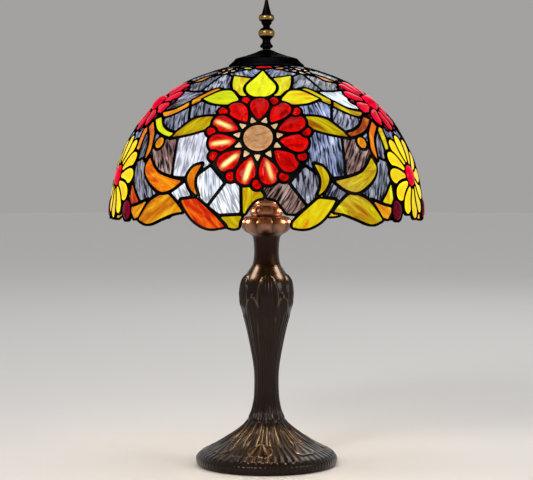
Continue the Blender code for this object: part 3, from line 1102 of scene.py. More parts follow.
def filled(outline: Array, inner: Array) -> tuple[Array, list[tuple[int, ...]]]:
    """Triangles that fill a closed outline, through points inside it.

    Args:
        outline: The outline's points, anticlockwise.
        inner: Points inside it.

    Returns:
        The points, with the outline's first and in order, and the triangles.
    """
    places = [Vector(place) for place in np.concatenate([outline, inner])]
    loop = list(range(len(outline)))
    found = geometry.delaunay_2d_cdt(places, [], [loop], 1, 1e-6)
    points = np.array([tuple(place) for place in found[0]])
    if len(points) != len(places) or any(sources != [number] for number, sources in enumerate(found[3])):
        order = [sources[0] if sources else -1 for sources in found[3]]
        if sorted(order) != list(range(len(places))):
            raise ValueError("an outline crosses itself")
        place = np.argsort(order)
        back = {old: new for new, old in enumerate(place.tolist())}
        return points[place], [tuple(back[number] for number in face) for face in found[2]]
    return points, [tuple(face) for face in found[2]]


def closed_shell(front: Array, back: Array, triangles: Array) -> tuple[Array, list[tuple[int, ...]]]:
    """Closes a front and a back into one body, with a side along every open edge.

    Args:
        front: The front's points.
        back: The back's points, in the same order.
        triangles: The front's triangles, which the back shares.

    Returns:
        The points that are used, and the faces.
    """
    count = len(front)
    sides = np.concatenate([triangles[:, [0, 1]], triangles[:, [1, 2]], triangles[:, [2, 0]]])
    both = {(int(first), int(last)) for first, last in sides}
    border = [(first, last) for first, last in both if (last, first) not in both]
    faces = [tuple(face) for face in triangles.tolist()]
    faces += [tuple(number + count for number in face[::-1]) for face in triangles.tolist()]
    faces += [(last, first, first + count, last + count) for first, last in sorted(border)]
    live = np.unique(np.concatenate([np.ravel(face) for face in faces]))
    pointer = np.full(2 * count, -1)
    pointer[live] = np.arange(len(live))
    points = np.concatenate([front, back])[live]
    return points, [tuple(int(pointer[number]) for number in face) for face in faces]


def hex_points(low: Array, high: Array, step: float) -> Array:
    """A triangular grid of points over a box."""
    rows = np.arange(low[1], high[1], step * 0.866)
    columns = np.arange(low[0], high[0], step)
    across, up = np.meshgrid(columns, rows)
    across = across + (np.arange(len(rows)) % 2)[:, None] * step / 2
    return np.stack([across.ravel(), up.ravel()], axis=1)


# ----- The leaded shade -----


LEAD_GAPS = (1.2, 8.0)  # a bead's crest runs midway between edges of glass that are this far apart
NEIGHBOURS = 14  # how many points near an edge are looked at for the edge across the lead line
CREST_PITCH = 1.05  # a crest has one point in each cell of this size
CREST_CLEAR = 0.8  # how far a crest's points keep from the glass
FILL_CLEAR = 2.4  # how far the points in a wide patch of solder keep from the glass
FILL_STEP = 0.0125  # how far apart those are, on the plan
FOOT_LEVELS = (300.0, 366.0)  # heights between which the rim's edge is looked for
SOLID_LEVEL = 356.0  # height over which the solder has no outer edge
RIM_CELL = 1.1  # size of the cells in which the rim's edge is looked for
LINE_FEWEST = 200  # points in the shortest line that is kept as the rim's edge
SOLDER_PROUD = 0.12  # how far the solder lies over the glass at its edge
BACK_BEAD = 0.7  # height of the beads inside, as a share of those outside
Solid = Callable[[Array], Array]


def kept_runs(line: Array, keep: Array) -> list[Array]:
    """The stretches of a line whose points are kept."""
    runs: list[list[Array]] = [[]]
    for place, kept in zip(line, keep):
        if kept:
            runs[-1].append(place)
        else:
            runs.append([])
    return [np.array(run) for run in runs if len(run) > 1]


@dataclass
class LeadedShade:
    """The shade's glass and the solder that holds it.

    Attributes:
        dome: Its shape.
        turn_deg: How far the pattern is turned about the lamp.
        face: How far the glass lies below the dome's surface.
        thickness: The glass's thickness.
        tuck: How far the glass goes under the solder.
        crest: Height of a solder bead above the glass.
        reach: Distance over which a bead rises.
        flatness: How nearly flat each sheet piece is, from 0 to 1.
        rim_lead: How far the solder goes beyond the glass at the rim.
        blanks: The pieces of glass, once they are ground.
        lifts: For each piece, how far each point of its edge lies above the dome.
    """

    dome: Dome = field(default_factory=Dome)
    turn_deg: float = -3.3
    face: float = -1.3
    thickness: float = 2.2
    tuck: float = 0.5
    crest: float = 1.15
    reach: float = 1.9
    flatness: float = 0.6
    rim_lead: float = 3.2
    blanks: list[Blank] = field(default_factory=list)
    lifts: list[Array] = field(default_factory=list)

    def space(self, places: Array, lift: Array | float) -> Array:
        """Points in space for places on the plan, with the shade's turn."""
        return self.dome.surface(places + (math.radians(self.turn_deg), 0), lift)

    def flat_lift(self, places: Array, outline: Array, share: float) -> Array:
        """How far the flat sheet lies above the curved surface at some places.

        Args:
            places: The places.
            outline: The piece's outline, which settles its plane.
            share: How nearly flat the piece is.

        Returns:
            The lifts, in millimetres.
        """
        edge = self.space(outline, self.face)
        middle = edge.mean(axis=0)
        normal = np.linalg.svd(edge - middle)[2][2]
        point = self.space(places, self.face)
        outward = self.space(places, self.face + 1) - point
        facing = outward @ normal
        facing = np.where(np.abs(facing) < 0.5, 0.5 * np.sign(facing + 1e-9), facing)
        return share * np.clip(((middle - point) @ normal) / facing, -1.6, 1.6)

    def slab(self, blank: Blank, number: int) -> tuple[Array, list, Array, Array, Array]:
        """Makes one piece of glass.

        Args:
            blank: The piece.
            number: Its number, which settles its place on the sheet.

        Returns:
            Points, faces, grain map, tones, and the lift of its visible edge.
        """
        luck = np.random.default_rng(number * 7 + 3)
        centre = blank.outline.mean(axis=0)
        scale = float(self.dome.radius_at(centre[1]))
        edge = (blank.outline - centre) * scale
        ahead = np.roll(edge, -1, axis=0) - np.roll(edge, 1, axis=0)
        outward = np.stack([ahead[:, 1], -ahead[:, 0]], axis=1) / np.linalg.norm(ahead, axis=1)[:, None]
        ground = edge + outward * self.tuck
        pressed = blank.pane.bulge > 0
        spacing = 2.2 if pressed else 5.0
        inner = hex_points(ground.min(axis=0), ground.max(axis=0), spacing)
        depth = -distance_inside(inner, ground)
        inner = inner[depth > 0.55 * spacing]
        depth = depth[depth > 0.55 * spacing]
        points, triangles = filled(ground, inner)
        places = points / scale + centre
        rim = len(ground)
        share = self.flatness if not pressed else 1.0
        lift = self.face + self.flat_lift(places, blank.outline, share)
        most = float(depth.max()) if len(depth) else 1.0
        profile = np.zeros(len(points))
        profile[rim:] = np.sqrt(np.clip(1 - (1 - depth / most * 0.98) ** 2, 0, 1))
        bulge = blank.pane.bulge if pressed else 0.25
        front = self.space(places, lift + bulge * profile)
        back = self.space(places, lift - self.thickness)
        count = len(points)
        faces = list(triangles) + [tuple(corner + count for corner in face[::-1]) for face in triangles]
        faces += [(side + count, (side + 1) % rim + count, (side + 1) % rim, side) for side in range(rim)]
        tilt = math.radians(blank.pane.lean if blank.pane.lean is not None else luck.uniform(0, 180))
        tilt += luck.uniform(-0.2, 0.2)
        if centre[0] < 0:
            tilt = math.pi - tilt
        along = points @ (math.cos(tilt), math.sin(tilt))
        across = points @ (-math.sin(tilt), math.cos(tilt))
        grain = np.stack([along, across], axis=1) * MM + luck.uniform(0, 9, 2)
        tone = np.zeros((count, 4))
        tone[:, :3] = luck.uniform(0.86, 1.12) * (1 + luck.uniform(-0.05, 0.05, 3))
        if pressed:
            tone[:, :3] *= (1.2 - 0.42 * profile)[:, None]
        # A painted highlight: a bright streak along the petal, fading towards its ends.
        if blank.pane.painted_highlight:
            tilt = math.radians(blank.pane.lean)
            streak = (points @ (-math.sin(tilt), math.cos(tilt)) - 2.2) / 2.1
            reach = points @ (math.cos(tilt), math.sin(tilt)) / 11.0
            tone[:, 3] = np.clip(1.5 * blank.pane.painted_highlight * np.exp(-(streak**2) - reach**4), 0, 1)
        edge_lift = self.face + self.flat_lift(blank.outline, blank.outline, share)
        return np.concatenate([front, back]), faces, np.tile(grain, (2, 1)), np.tile(tone, (2, 1)), edge_lift

    def build_glass(self, finishes: dict[Glass, Material]) -> list[tuple[Object, str, Glass]]:
        """Makes all the glass, with one object for each glass and motif in each sector."""
        self.blanks = Pattern(self.dome).whole_shade()
        piles: dict[tuple[str, str, Glass], MeshPile] = {}
        for number, blank in enumerate(self.blanks):
            points, faces, grain, tone, edge_lift = self.slab(blank, number)
            self.lifts.append(edge_lift)
            motif = blank.pane.name.split("_")[0] if blank.pane.glass in CAST or blank.pane.bulge else "sheet"
            key = (blank.sector, motif, blank.glass)
            piles.setdefault(key, MeshPile()).add(points, faces, grain, tone)
        made = []
        for (sector, motif, glass), pile in piles.items():
            made.append((pile.build(f"{motif}_{glass.value}_{sector}", finishes[glass]), sector, glass))
        return made

    def gaps(self, places: Array, near: kdtree.KDTree) -> Array:
        """Distance of places on the plan from the nearest edge of glass."""
        return np.array([near.find(point)[2] for point in self.space(places, 0.0).tolist()])

    def rim_line(self, near: kdtree.KDTree) -> tuple[list[Array], Solid]:
        """Finds the solder's edge along the rim.

        Args:
            near: The edges of the glass, in space.

        Returns:
            The edge as lines on the plan, and the test for what lies inside it.
        """
        step = RIM_CELL / self.dome.radius
        low, high = (float(self.dome.latitude(level)) for level in FOOT_LEVELS)
        columns = np.arange(math.radians(-184), math.radians(184), step)
        columns = columns - (columns[0] + columns[-1]) / 2
        rows = np.arange(low, high, step)
        across, up = np.meshgrid(columns, rows)
        gap = self.gaps(np.stack([across.ravel(), up.ravel()], axis=1), near).reshape(across.shape)
        gap -= self.rim_lead
        for blank in self.blanks:
            box_low, box_high = blank.outline.min(axis=0), blank.outline.max(axis=0)
            first, last = np.searchsorted(columns, (box_low[0], box_high[0]))
            bottom, top = np.searchsorted(rows, (box_low[1], box_high[1]))
            patch = gap[bottom:top, first:last]
            if box_low[1] <= high and patch.size:
                cells = (across[bottom:top, first:last].ravel(), up[bottom:top, first:last].ravel())
                inside = distance_inside(np.stack(cells, axis=1), blank.outline) < 0
                patch[inside.reshape(patch.shape)] = -1.0
        gap[up > self.dome.latitude(SOLID_LEVEL)] = -1.0

        def solid(places: Array) -> Array:
            """Whether places on the plan lie inside the solder's outer edge."""
            column = np.clip(np.round((places[:, 0] - columns[0]) / step).astype(int), 0, len(columns) - 1)
            row = np.clip(np.round((places[:, 1] - rows[0]) / step).astype(int), 0, len(rows) - 1)
            high_up = places[:, 1] > rows[-1] - 2 * step
            return high_up | ((gap[row, column] < 0) & (places[:, 1] > rows[0]))

        ringed = np.vstack([gap, np.full((1, gap.shape[1]), 0.5)])
        ringed[0, :] = 0.5
        smooth = []
        for line in trace_edges(ringed, columns, np.append(rows, rows[-1] + step)):
            if len(line) <= LINE_FEWEST:
                continue
            keep = line[:, 1] < self.dome.latitude(SOLID_LEVEL - 1)
            keep &= np.abs(line[:, 0]) < columns[-1] - 1.5 * step
            start = 0 if keep.all() else int(np.argmin(keep))
            for run in kept_runs(np.roll(line, -start, axis=0), np.roll(keep, -start)):
                for _ in range(2):
                    run[1:-1] = (run[:-2] + 2 * run[1:-1] + run[2:]) / 4
                smooth.append(run)
        return smooth, solid

    def crest_places(self, edge: Array, owner: Array, near: kdtree.KDTree) -> Array:
        """Places on the plan where the crests of the beads run.

        Args:
            edge: The points of every edge of glass, on the plan.
            owner: For each, the number of its piece.
            near: The same points in space.

        Returns:
            The places, one row each.
        """
        crests: dict[tuple[int, ...], Array] = {}
        for number, point in enumerate(self.space(edge, 0.0).tolist()):
            for _, other, gap in near.find_n(point, NEIGHBOURS):
                if owner[other] == owner[number] or not LEAD_GAPS[0] <= gap <= LEAD_GAPS[1]:
                    continue
                if abs(edge[other, 0] - edge[number, 0]) < 1.0:
                    middle = (edge[number] + edge[other]) / 2
                    cell = (int(round(value / CREST_PITCH)) for value in self.space(middle[None], 0.0)[0])
                    crests.setdefault(tuple(cell), middle)
                break
        crest = np.array(list(crests.values()))
        return crest[self.gaps(crest, near) > CREST_CLEAR]

    def fill_places(self, near: kdtree.KDTree, solid: Solid) -> Array:
        """Places on the plan inside the wide patches of solder."""
        top = self.dome.crown_latitude
        foot = float(self.dome.latitude(302.0))
        fill = hex_points(np.array([-math.pi, foot]), np.array([math.pi, top]), FILL_STEP)
        size = self.dome.radius_at(fill[:, 1])
        inside = (self.gaps(fill, near) > FILL_CLEAR) & solid(fill)
        inside &= np.abs(fill[:, 0]) < math.pi - 1.2 / size
        inside &= fill[:, 1] < top - 1.5 / self.dome.crown_radius
        return fill[inside & ~self.under_glass(fill)]

    def solder_plan(self, lines: list[Array], loose: list[Array], solid: Solid) -> tuple[Array, Array]:
        """Fills the plan between the pieces of glass with triangles.

        Args:
            lines: Lines that the triangles keep to, besides the edges of the glass.
            loose: Places that they have corners at.
            solid: The test for what lies inside the solder's outer edge.

        Returns:
            Places on the plan, and the triangles, all the same way round.
        """
        top = self.dome.crown_latitude
        edges: list[tuple[int, int]] = []
        faces: list[list[int]] = []
        count = 0
        for blank in self.blanks:
            faces.append(list(range(count, count + len(blank.outline))))
            count += len(blank.outline)
        for line in lines:
            edges += [(count + number, count + number + 1) for number in range(len(line) - 1)]
            count += len(line)
        places = np.concatenate([blank.outline for blank in self.blanks] + lines + loose)
        found = geometry.delaunay_2d_cdt([Vector(place) for place in places.tolist()], edges, faces, 0, 1e-6)
        spots = np.array([tuple(place) for place in found[0]])
        triangles = np.array([face for face in found[2] if len(face) == 3])
        glass = np.array([bool(sources) for sources, face in zip(found[5], found[2]) if len(face) == 3])
        middle = spots[triangles].mean(axis=1)
        kept = ~glass & solid(middle) & (np.abs(middle[:, 0]) < math.pi) & (middle[:, 1] < top)
        used, triangles = np.unique(triangles[kept], return_inverse=True)
        triangles = triangles.reshape(-1, 3)
        spots = spots[used]
        first, second, third = (spots[triangles[:, corner]] for corner in range(3))
        turned = np.cross(second - first, third - first)
        triangles[turned < 0] = triangles[turned < 0][:, ::-1]
        return spots, triangles

    def build_lead(self, material: Material) -> Object:
        """Makes the solder between the glass, with a bead along each line, as one body."""
        owner = np.concatenate([np.full(len(blank.outline), at) for at, blank in enumerate(self.blanks)])
        edge = np.concatenate([blank.outline for blank in self.blanks])
        near = kdtree.KDTree(len(edge))
        for number, point in enumerate(self.space(edge, 0.0).tolist()):
            near.insert(point, number)
        near.balance()
        rim, solid = self.rim_line(near)
        top = self.dome.crown_latitude
        crown = np.stack([np.linspace(-math.pi, math.pi, 181), np.full(181, top)], axis=1)
        seam_rows = np.arange(float(self.dome.latitude(305.0)), top, 0.010)
        seams = [np.stack([np.full(len(seam_rows), way * math.pi), seam_rows], axis=1) for way in (-1, 1)]
        loose = [self.crest_places(edge, owner, near), self.fill_places(near, solid)]
        spots, triangles = self.solder_plan([crown, *seams, *rim], loose, solid)
        edge_lift = np.concatenate(self.lifts)
        lift = np.empty(len(spots))
        gap = np.empty(len(spots))
        for number, point in enumerate(self.space(spots, 0.0).tolist()):
            nearest = near.find_n(point, 3)
            weights = np.array([1 / (distance + 0.3) for _, _, distance in nearest])
            lift[number] = (edge_lift[[other for _, other, _ in nearest]] * weights).sum() / weights.sum()
            gap[number] = nearest[0][2]
        rise = self.crest * np.sqrt(1 - (1 - np.clip(gap / self.reach, 0, 1)) ** 2)
        front = self.space(spots, lift + SOLDER_PROUD + rise)
        back = self.space(spots, lift - self.thickness - SOLDER_PROUD - BACK_BEAD * rise)
        points, faces = closed_shell(front, back, self.weld_seam(spots)[triangles])
        pile = MeshPile()
        pile.add(points, faces)
        return pile.build("shade_solder", material, sharp=60.0)

    def under_glass(self, places: Array) -> Array:
        """Whether places on the plan are under a piece of glass."""
        under = np.zeros(len(places), bool)
        for blank in self.blanks:
            low, high = blank.outline.min(axis=0), blank.outline.max(axis=0)
            inside = np.flatnonzero(((places > low) & (places < high)).all(axis=1))
            if len(inside):
                under[inside[distance_inside(places[inside], blank.outline) < 0]] = True
        return under

    def weld_seam(self, spots: Array) -> Array:
        """Numbers that join the points on the seam at +180 degrees to those at -180."""
        weld = np.arange(len(spots))
        left = np.flatnonzero(spots[:, 0] < -math.pi + 1e-5)
        right = np.flatnonzero(spots[:, 0] > math.pi - 1e-5)
        for number in right:
            gap = np.abs(spots[left, 1] - spots[number, 1])
            if len(gap) and gap.min() < 0.002:
                weld[number] = left[int(gap.argmin())]
        return weld


# ----- Colours -----


def hue(red: int, green: int, blue: int) -> Colour:
    """A linear colour from display values of 0 to 255."""
    def linear(value: float) -> float:
        """One channel."""
        share = value / 255
        return share / 12.92 if share <= 0.04045 else ((share + 0.055) / 1.055) ** 2.4
    return linear(red), linear(green), linear(blue)


# For each streaky glass, its dark, middle and light colours, ripple, stretch, glow and grain.
STREAKY = (
    (Glass.YELLOW, (246, 188, 0), (254, 222, 0), (255, 236, 0), 0.15, 4.0, 1.05, 0.0),
    (Glass.LIME, (190, 184, 0), (208, 218, 0), (232, 240, 30), 0.2, 4.0, 0.95, 0.0),
    (Glass.LIME_AMBER, (206, 124, 4), (204, 190, 4), (222, 224, 34), 0.25, 4.0, 1.0, 0.0),
    (Glass.AMBER, (160, 70, 2), (214, 132, 8), (236, 190, 30), 0.3, 4.0, 1.0, 0.0),
    (Glass.ORANGE, (166, 54, 0), (210, 100, 2), (236, 166, 16), 0.2, 4.0, 1.0, 0.0),
    (Glass.FLAME, (140, 14, 0), (184, 40, 2), (222, 124, 10), 0.25, 4.0, 1.0, 0.0),
    (Glass.OLIVE, (150, 72, 0), (178, 150, 0), (212, 204, 8), 0.3, 4.0, 1.0, 0.0),
    (Glass.RUST, (108, 34, 4), (172, 72, 8), (210, 124, 24), 0.3, 4.0, 0.95, 0.0),
    (Glass.SKY, (70, 80, 112), (124, 138, 176), (196, 206, 232), 0.9, 3.0, 0.8, 1.0),
    (Glass.STONE, (80, 82, 94), (134, 138, 156), (192, 196, 212), 0.9, 3.0, 0.8, 1.0),
    (Glass.SLATE, (56, 58, 68), (108, 112, 128), (170, 176, 192), 0.9, 3.0, 0.8, 1.0),
    # Near-white ripple glass: a painted reflection of a soft light on grey ripple glass.
    (Glass.SNOW, (158, 166, 190), (222, 228, 240), (252, 253, 255), 0.8, 3.0, 0.9, 0.55),
    (Glass.MAUVE, (66, 44, 40), (134, 104, 98), (196, 170, 162), 0.9, 3.0, 0.8, 1.0),
    (Glass.CREAM, (222, 196, 142), (244, 228, 188), (255, 248, 224), 0.2, 4.0, 0.85, 0.0),
    (Glass.TAN, (186, 140, 92), (222, 184, 134), (246, 222, 176), 0.2, 4.0, 0.8, 0.0),
)
# For each pressed glass, its deep and bright colours, glow and mottle.
PRESSED = (
    (Glass.RED, (150, 0, 0), (228, 8, 3), 0.95, 0.5),
    (Glass.CRIMSON, (182, 0, 28), (246, 0, 54), 0.95, 0.5),
    (Glass.WINE, (60, 0, 16), (136, 2, 40), 0.7, 0.5),
    (Glass.PEACH, (190, 122, 74), (226, 176, 126), 0.8, 1.0),
)
SLOT_GLASSES = {
    "red_glass": (Glass.RED, Glass.CRIMSON, Glass.WINE),
    "yellow_glass": (Glass.YELLOW, Glass.LIME, Glass.LIME_AMBER),
    "amber_glass": (Glass.AMBER, Glass.ORANGE, Glass.FLAME, Glass.RUST, Glass.CREAM, Glass.TAN, Glass.PEACH),
    "olive_glass": (Glass.OLIVE,),
    "grey_glass": (Glass.SKY, Glass.STONE, Glass.SLATE, Glass.SNOW, Glass.MAUVE),
}
GLASS_SLOTS = {glass: slot for slot, glasses in SLOT_GLASSES.items() for glass in glasses}


def shade_finishes() -> dict[Glass, Material]:
    """Makes the material of each glass."""
    made = {}
    for glass, dark, middle, light, *numbers in STREAKY:
        name = f"glass_{glass.name.lower()}"
        made[glass] = SheetGlass(name, hue(*dark), hue(*middle), hue(*light), *numbers).build()
    for glass, deep, bright, glow, mottle in PRESSED:
        made[glass] = CastGlass(f"glass_{glass.name.lower()}", hue(*deep), hue(*bright), glow, mottle).build()
    return made


SECTORS = ("front", "right", "left", "back_right", "back_left")


# ----- The castings -----


def smooth_line(corners: Sequence[Point], step: float) -> Array:
    """A smooth open line through its corners, with its points set evenly.

    Args:
        corners: The corners, as (radius, height).
        step: The distance wanted between points.

    Returns:
        The line's points.
    """
    knots = np.array(corners, float)
    padded = np.concatenate([2 * knots[:1] - knots[1:2], knots, 2 * knots[-1:] - knots[-2:-1]])
    share = np.linspace(0, 1, 12, endpoint=False)[:, None]
    pieces = [eased(*padded[number : number + 4], share) for number in range(len(knots) - 1)]
    line = np.concatenate([*pieces, knots[-1:]])
    length = length_along(line)
    return spread(line, length, np.linspace(0, length[-1], max(2, int(round(length[-1] / step)) + 1)))


def between(values: Array, low: float, high: float) -> Array:
    """A smooth step from 0 at low to 1 at high."""
    share = np.clip((values - low) / (high - low), 0, 1)
    return share * share * (3 - 2 * share)


def ridge(distance: Array, width: float) -> Array:
    """A rounded ridge about a line, from 1 on it to 0 at a width from it."""
    return np.clip(1 - (distance / width) ** 2, 0, 1) ** 2


Relief = Callable[[Array, Array, Array], Array]


@dataclass
class Casting:
    """A hollow casting with its relief, turned from the frame's outline.

    Attributes:
        name: The piece's name.
        outer: The outer side, as (radius, height), drawn smooth.
        inner: The inner side, from the end of the outer side back to its start.
        relief: Height of the relief for azimuths in radians, radii and heights.
        steps: Steps round the axis.
        spacing: Distance between rings.
        rub_low: Relief at which the patina starts to be rubbed through.
        rub_high: Relief at which it is rubbed through fully.
        painted_shade_below: Height under which the patina is left whole, a painted shade on the neck under
            the collar's bulge.
    """

    name: str
    outer: Sequence[Point]
    inner: Sequence[Point]
    relief: Relief
    steps: int = 240
    spacing: float = 1.5
    rub_low: float = -0.2
    rub_high: float = 1.2
    painted_shade_below: float = -50.0

    def build(self, material: Material) -> Object:
        """Makes the casting as one closed body."""
        outer = smooth_line(self.outer, self.spacing)
        ahead = np.gradient(outer, axis=0)
        normal = np.stack([-ahead[:, 1], ahead[:, 0]], axis=1) / np.linalg.norm(ahead, axis=1)[:, None]
        if normal[len(outer) // 2, 0] < 0:
            normal = -normal
        inner = np.array(self.inner, float)
        angle = np.linspace(0, 2 * math.pi, self.steps, endpoint=False)
        turn, out = np.meshgrid(angle, outer[:, 0])
        level = np.meshgrid(angle, outer[:, 1])[1]
        fade = between(np.minimum(np.arange(len(outer)), np.arange(len(outer))[::-1]) * self.spacing, 0, 3.0)
        height = self.relief(turn, out, level) * fade[:, None]
        radius = np.concatenate([out + height * normal[:, :1], np.repeat(inner[:, :1], self.steps, axis=1)])
        stand = np.concatenate([level + height * normal[:, 1:], np.repeat(inner[:, 1:], self.steps, axis=1)])
        spin = np.broadcast_to(angle, radius.shape)
        points = np.stack([radius * np.sin(spin), -radius * np.cos(spin), stand], axis=2).reshape(-1, 3)
        rings = len(radius)
        first = np.arange(rings)[:, None] * self.steps + np.arange(self.steps)
        right = np.roll(first, -1, axis=1)
        low, low_right = np.roll(first, -1, axis=0), np.roll(right, -1, axis=0)
        faces = np.stack([first, low, low_right, right], axis=2).reshape(-1, 4)
        if outer[0, 1] < outer[-1, 1]:
            faces = faces[:, ::-1]
        worn = np.zeros(radius.shape)
        worn[: len(outer)] = np.clip((height - self.rub_low) / (self.rub_high - self.rub_low), 0, 1)
        # Painted shade: no rubbing below this height, so the neck under the collar's bulge stays dark.
        worn[: len(outer)] *= between(level, self.painted_shade_below - 10, self.painted_shade_below + 10)
        tone = np.repeat(worn.reshape(-1, 1), 4, axis=1)
        pile = MeshPile()
        pile.add(points, faces.tolist(), None, tone)
        return pile.build(self.name, material, sharp=50.0)


@dataclass
class Column:
    """The cast column: a foot of lily leaves, a fluted stem, a lobed collar and its ring.

    Attributes:
        leaves: Leaves round the foot.
        leaf_radius: Distance of a leaf's middle from the axis.
        lobes: Lobes round the collar.
        arches: Tall pointed leaves round the stem.
        foot_outer, foot_inner: The foot's sides, as (radius, height), and so for the three below.
        stem_outer, stem_inner: The stem's sides.
        collar_outer, collar_inner: The lobed collar's sides.
        ring_outer, ring_inner: The ring's sides.
    """

    leaves: int = 7
    leaf_radius: float = 66.0
    lobes: int = 9
    arches: int = 5
    foot_outer: Sequence[Point] = (
        (24.2, 59.9), (25.7, 57.2), (31, 51), (39, 44.2), (55.5, 33.3), (73.8, 22.5), (86.3, 16.6),
        (91.2, 12.6), (92.6, 9), (92.0, 4), (90.4, 0.9),
    )
    foot_inner: Sequence[Point] = (
        (86, 0.9), (85.8, 4), (85.4, 9), (81, 13), (70, 19), (52, 28.5), (36, 39), (22, 49), (12, 50),
        (12, 32.3), (5.4, 32.3), (5.4, 59.9),
    )
    stem_outer: Sequence[Point] = (
        (18.2, 261.6), (25.5, 251), (32.1, 240.5), (34.6, 228), (34.8, 219), (33.4, 207), (30.7, 195.8),
        (24.5, 172), (18.7, 141), (16.1, 117.8), (16.4, 91.3), (19.1, 71.5), (23.9, 60.3),
    )
    stem_inner: Sequence[Point] = (
        (19.5, 60.3), (13, 75), (11.5, 117), (14, 141), (19.5, 172), (25.5, 195.8), (29, 219),
        (26.5, 238), (14, 253), (5.4, 255), (5.4, 261.6),
    )
    collar_outer: Sequence[Point] = (
        (18.8, 324.6), (27.6, 323), (32.6, 319.5), (34.2, 315), (32.8, 309.5), (27.4, 303.6),
        (19.6, 299), (16.9, 292.5), (15.8, 278), (16.6, 268), (18.0, 262.0),
    )
    collar_inner: Sequence[Point] = (
        (13.5, 262.0), (11.5, 278), (12, 299), (13, 316), (5.4, 318), (5.4, 324.6),
    )
    ring_outer: Sequence[Point] = (
        (12.6, 344.8), (15.4, 344.4), (16.6, 341.8), (16.4, 339.2), (16.2, 337.6), (19.4, 335.6),
        (22.2, 331.6), (22.2, 328.0), (20.6, 325.2),
    )
    ring_inner: Sequence[Point] = ((7.6, 325.2), (7.6, 343.0), (10.4, 343.0))

    def foot_relief(self, turn: Array, out: Array, level: Array) -> Array:
        """Lily leaves over radial ribs, with a row of short ribs at the edge."""
        step = 2 * math.pi / self.leaves
        off = (turn + 0.12 + step / 2) % step - step / 2
        across = off * self.leaf_radius * (0.55 + 0.45 * out / self.leaf_radius)
        along = out - self.leaf_radius
        pad = 1 - np.sqrt((across / 17.5) ** 2 + ((along + 1.5 * np.cos(across / 4.0)) / 12.5) ** 2)
        leaf = between(pad, 0.0, 0.14)
        veins = 0.35 * np.cos(13 * np.arctan2(across, along + 17)) + 0.9 * (1 - between(pad, 0.0, 0.3))
        wobble = 0.35 * np.sin(3 * turn + 0.06 * out)
        ribs = 0.75 * np.cos(58 * (turn + 0.02 * np.sin(out / 7.0)) + wobble) * between(out, 25, 34)
        fan = 1.15 * np.abs(np.cos(11 * (turn + 0.25 * np.sin(out / 26.0)))) ** 3
        fan *= 1 - between(out, 52, 66)
        gadroon = 1.25 * np.abs(np.cos(26 * turn + 0.8 * np.sin(5 * turn))) ** 0.8 * between(out, 73, 78)
        gadroon *= (1 - between(out, 86, 90)) * (0.7 + 0.3 * np.cos(3 * turn + 1.0))
        stalk = 1.5 * ridge(across, 3.0) * (1 - between(out, 50, 58)) * between(out, 26, 34)
        ground = (ribs * (1 - 0.5 * between(out, 74, 80)) * 0.75 + fan) * (1 - between(out, 86, 91)) + gadroon
        rim = 0.22 * np.cos(92 * turn) * between(out, 86, 90)
        return np.maximum(ground * (1 - leaf) + leaf * (1.0 + 0.8 * veins), stalk) + rim - 0.7

    def stem_relief(self, turn: Array, out: Array, level: Array) -> Array:
        """Tall pointed leaves on the bulge, with flutes that run down from them."""
        step = 2 * math.pi / self.arches
        off = (turn - 0.05 + step / 2) % step - step / 2
        half = 13.5 * np.sqrt(np.clip(1 - ((level - 208) / 41.0).clip(0, 1) ** 2.2, 0, 1))
        half = half * between(level, 176, 200)
        across = off * 33.0
        edge = np.abs(np.abs(across) - half)
        arch = 1.5 * ridge(edge, 2.9) * between(level, 190, 216) * (1 - between(level, 246, 251))
        inside = (np.abs(across) < half) & (level > 196)
        fine = 0.5 * np.cos(across * 1.5) * between(level, 200, 212)
        low = (turn - 0.05) % step - step / 2
        curl_half = 10.5 * np.sqrt(np.clip(1 - ((level - 196) / 24.0).clip(0, 1) ** 2, 0, 1))
        curl_half = curl_half * between(level, 180, 196)
        curl = 1.7 * ridge(np.abs(np.abs(low * 33.0) - curl_half), 3.0) * between(level, 190, 210)
        curl *= 1 - between(level, 222, 227)
        flutes = 0.8 * np.abs(np.cos(7.5 * turn + 0.5 * np.sin(level / 31.0)))
        flutes = flutes + 0.4 * np.cos(33 * turn + np.sin(level / 12.0))
        flutes *= 1 - between(level, 192, 204)
        flutes *= 0.55 + 0.45 * between(level, 110, 175) + 0.6 * (1 - between(level, 66, 92))
        return np.where(inside, fine - 0.5, 0.0) + np.maximum(arch, curl) + flutes - 0.5

    def collar_relief(self, turn: Array, out: Array, level: Array) -> Array:
        """Rounded lobes round the widest part, and soft facets below."""
        lobe = np.abs(np.cos(self.lobes / 2 * turn + 0.35)) ** 0.6
        weight = between(level, 299, 310) * (1 - 0.75 * between(level, 321, 325))
        facets = 0.5 * np.cos(8 * turn) * (1 - between(level, 290, 300)) * between(level, 264, 272)
        return -3.0 * (1 - lobe) * weight + 0.3 * facets

    def ring_relief(self, turn: Array, out: Array, level: Array) -> Array:
        """Shallow lobes round the lower bulge."""
        lobe = np.abs(np.cos(3.0 * turn + 0.2)) ** 0.6
        return -1.1 * (1 - lobe) * (1 - between(level, 334, 338))

    def build(self, bronze: Material, copper: Material) -> list[Object]:
        """Makes the four castings, hangs each on the root body, and hides the CAD node that each takes the
        place of.
        """
        made = []
        foot = Casting("base_foot_cast", self.foot_outer, self.foot_inner, self.foot_relief,
                       steps=420, spacing=1.0, rub_low=-0.2, rub_high=1.5)
        stem = Casting("stem_column_cast", self.stem_outer, self.stem_inner, self.stem_relief,
                       steps=260, spacing=1.6, rub_low=-0.1, rub_high=2.3)
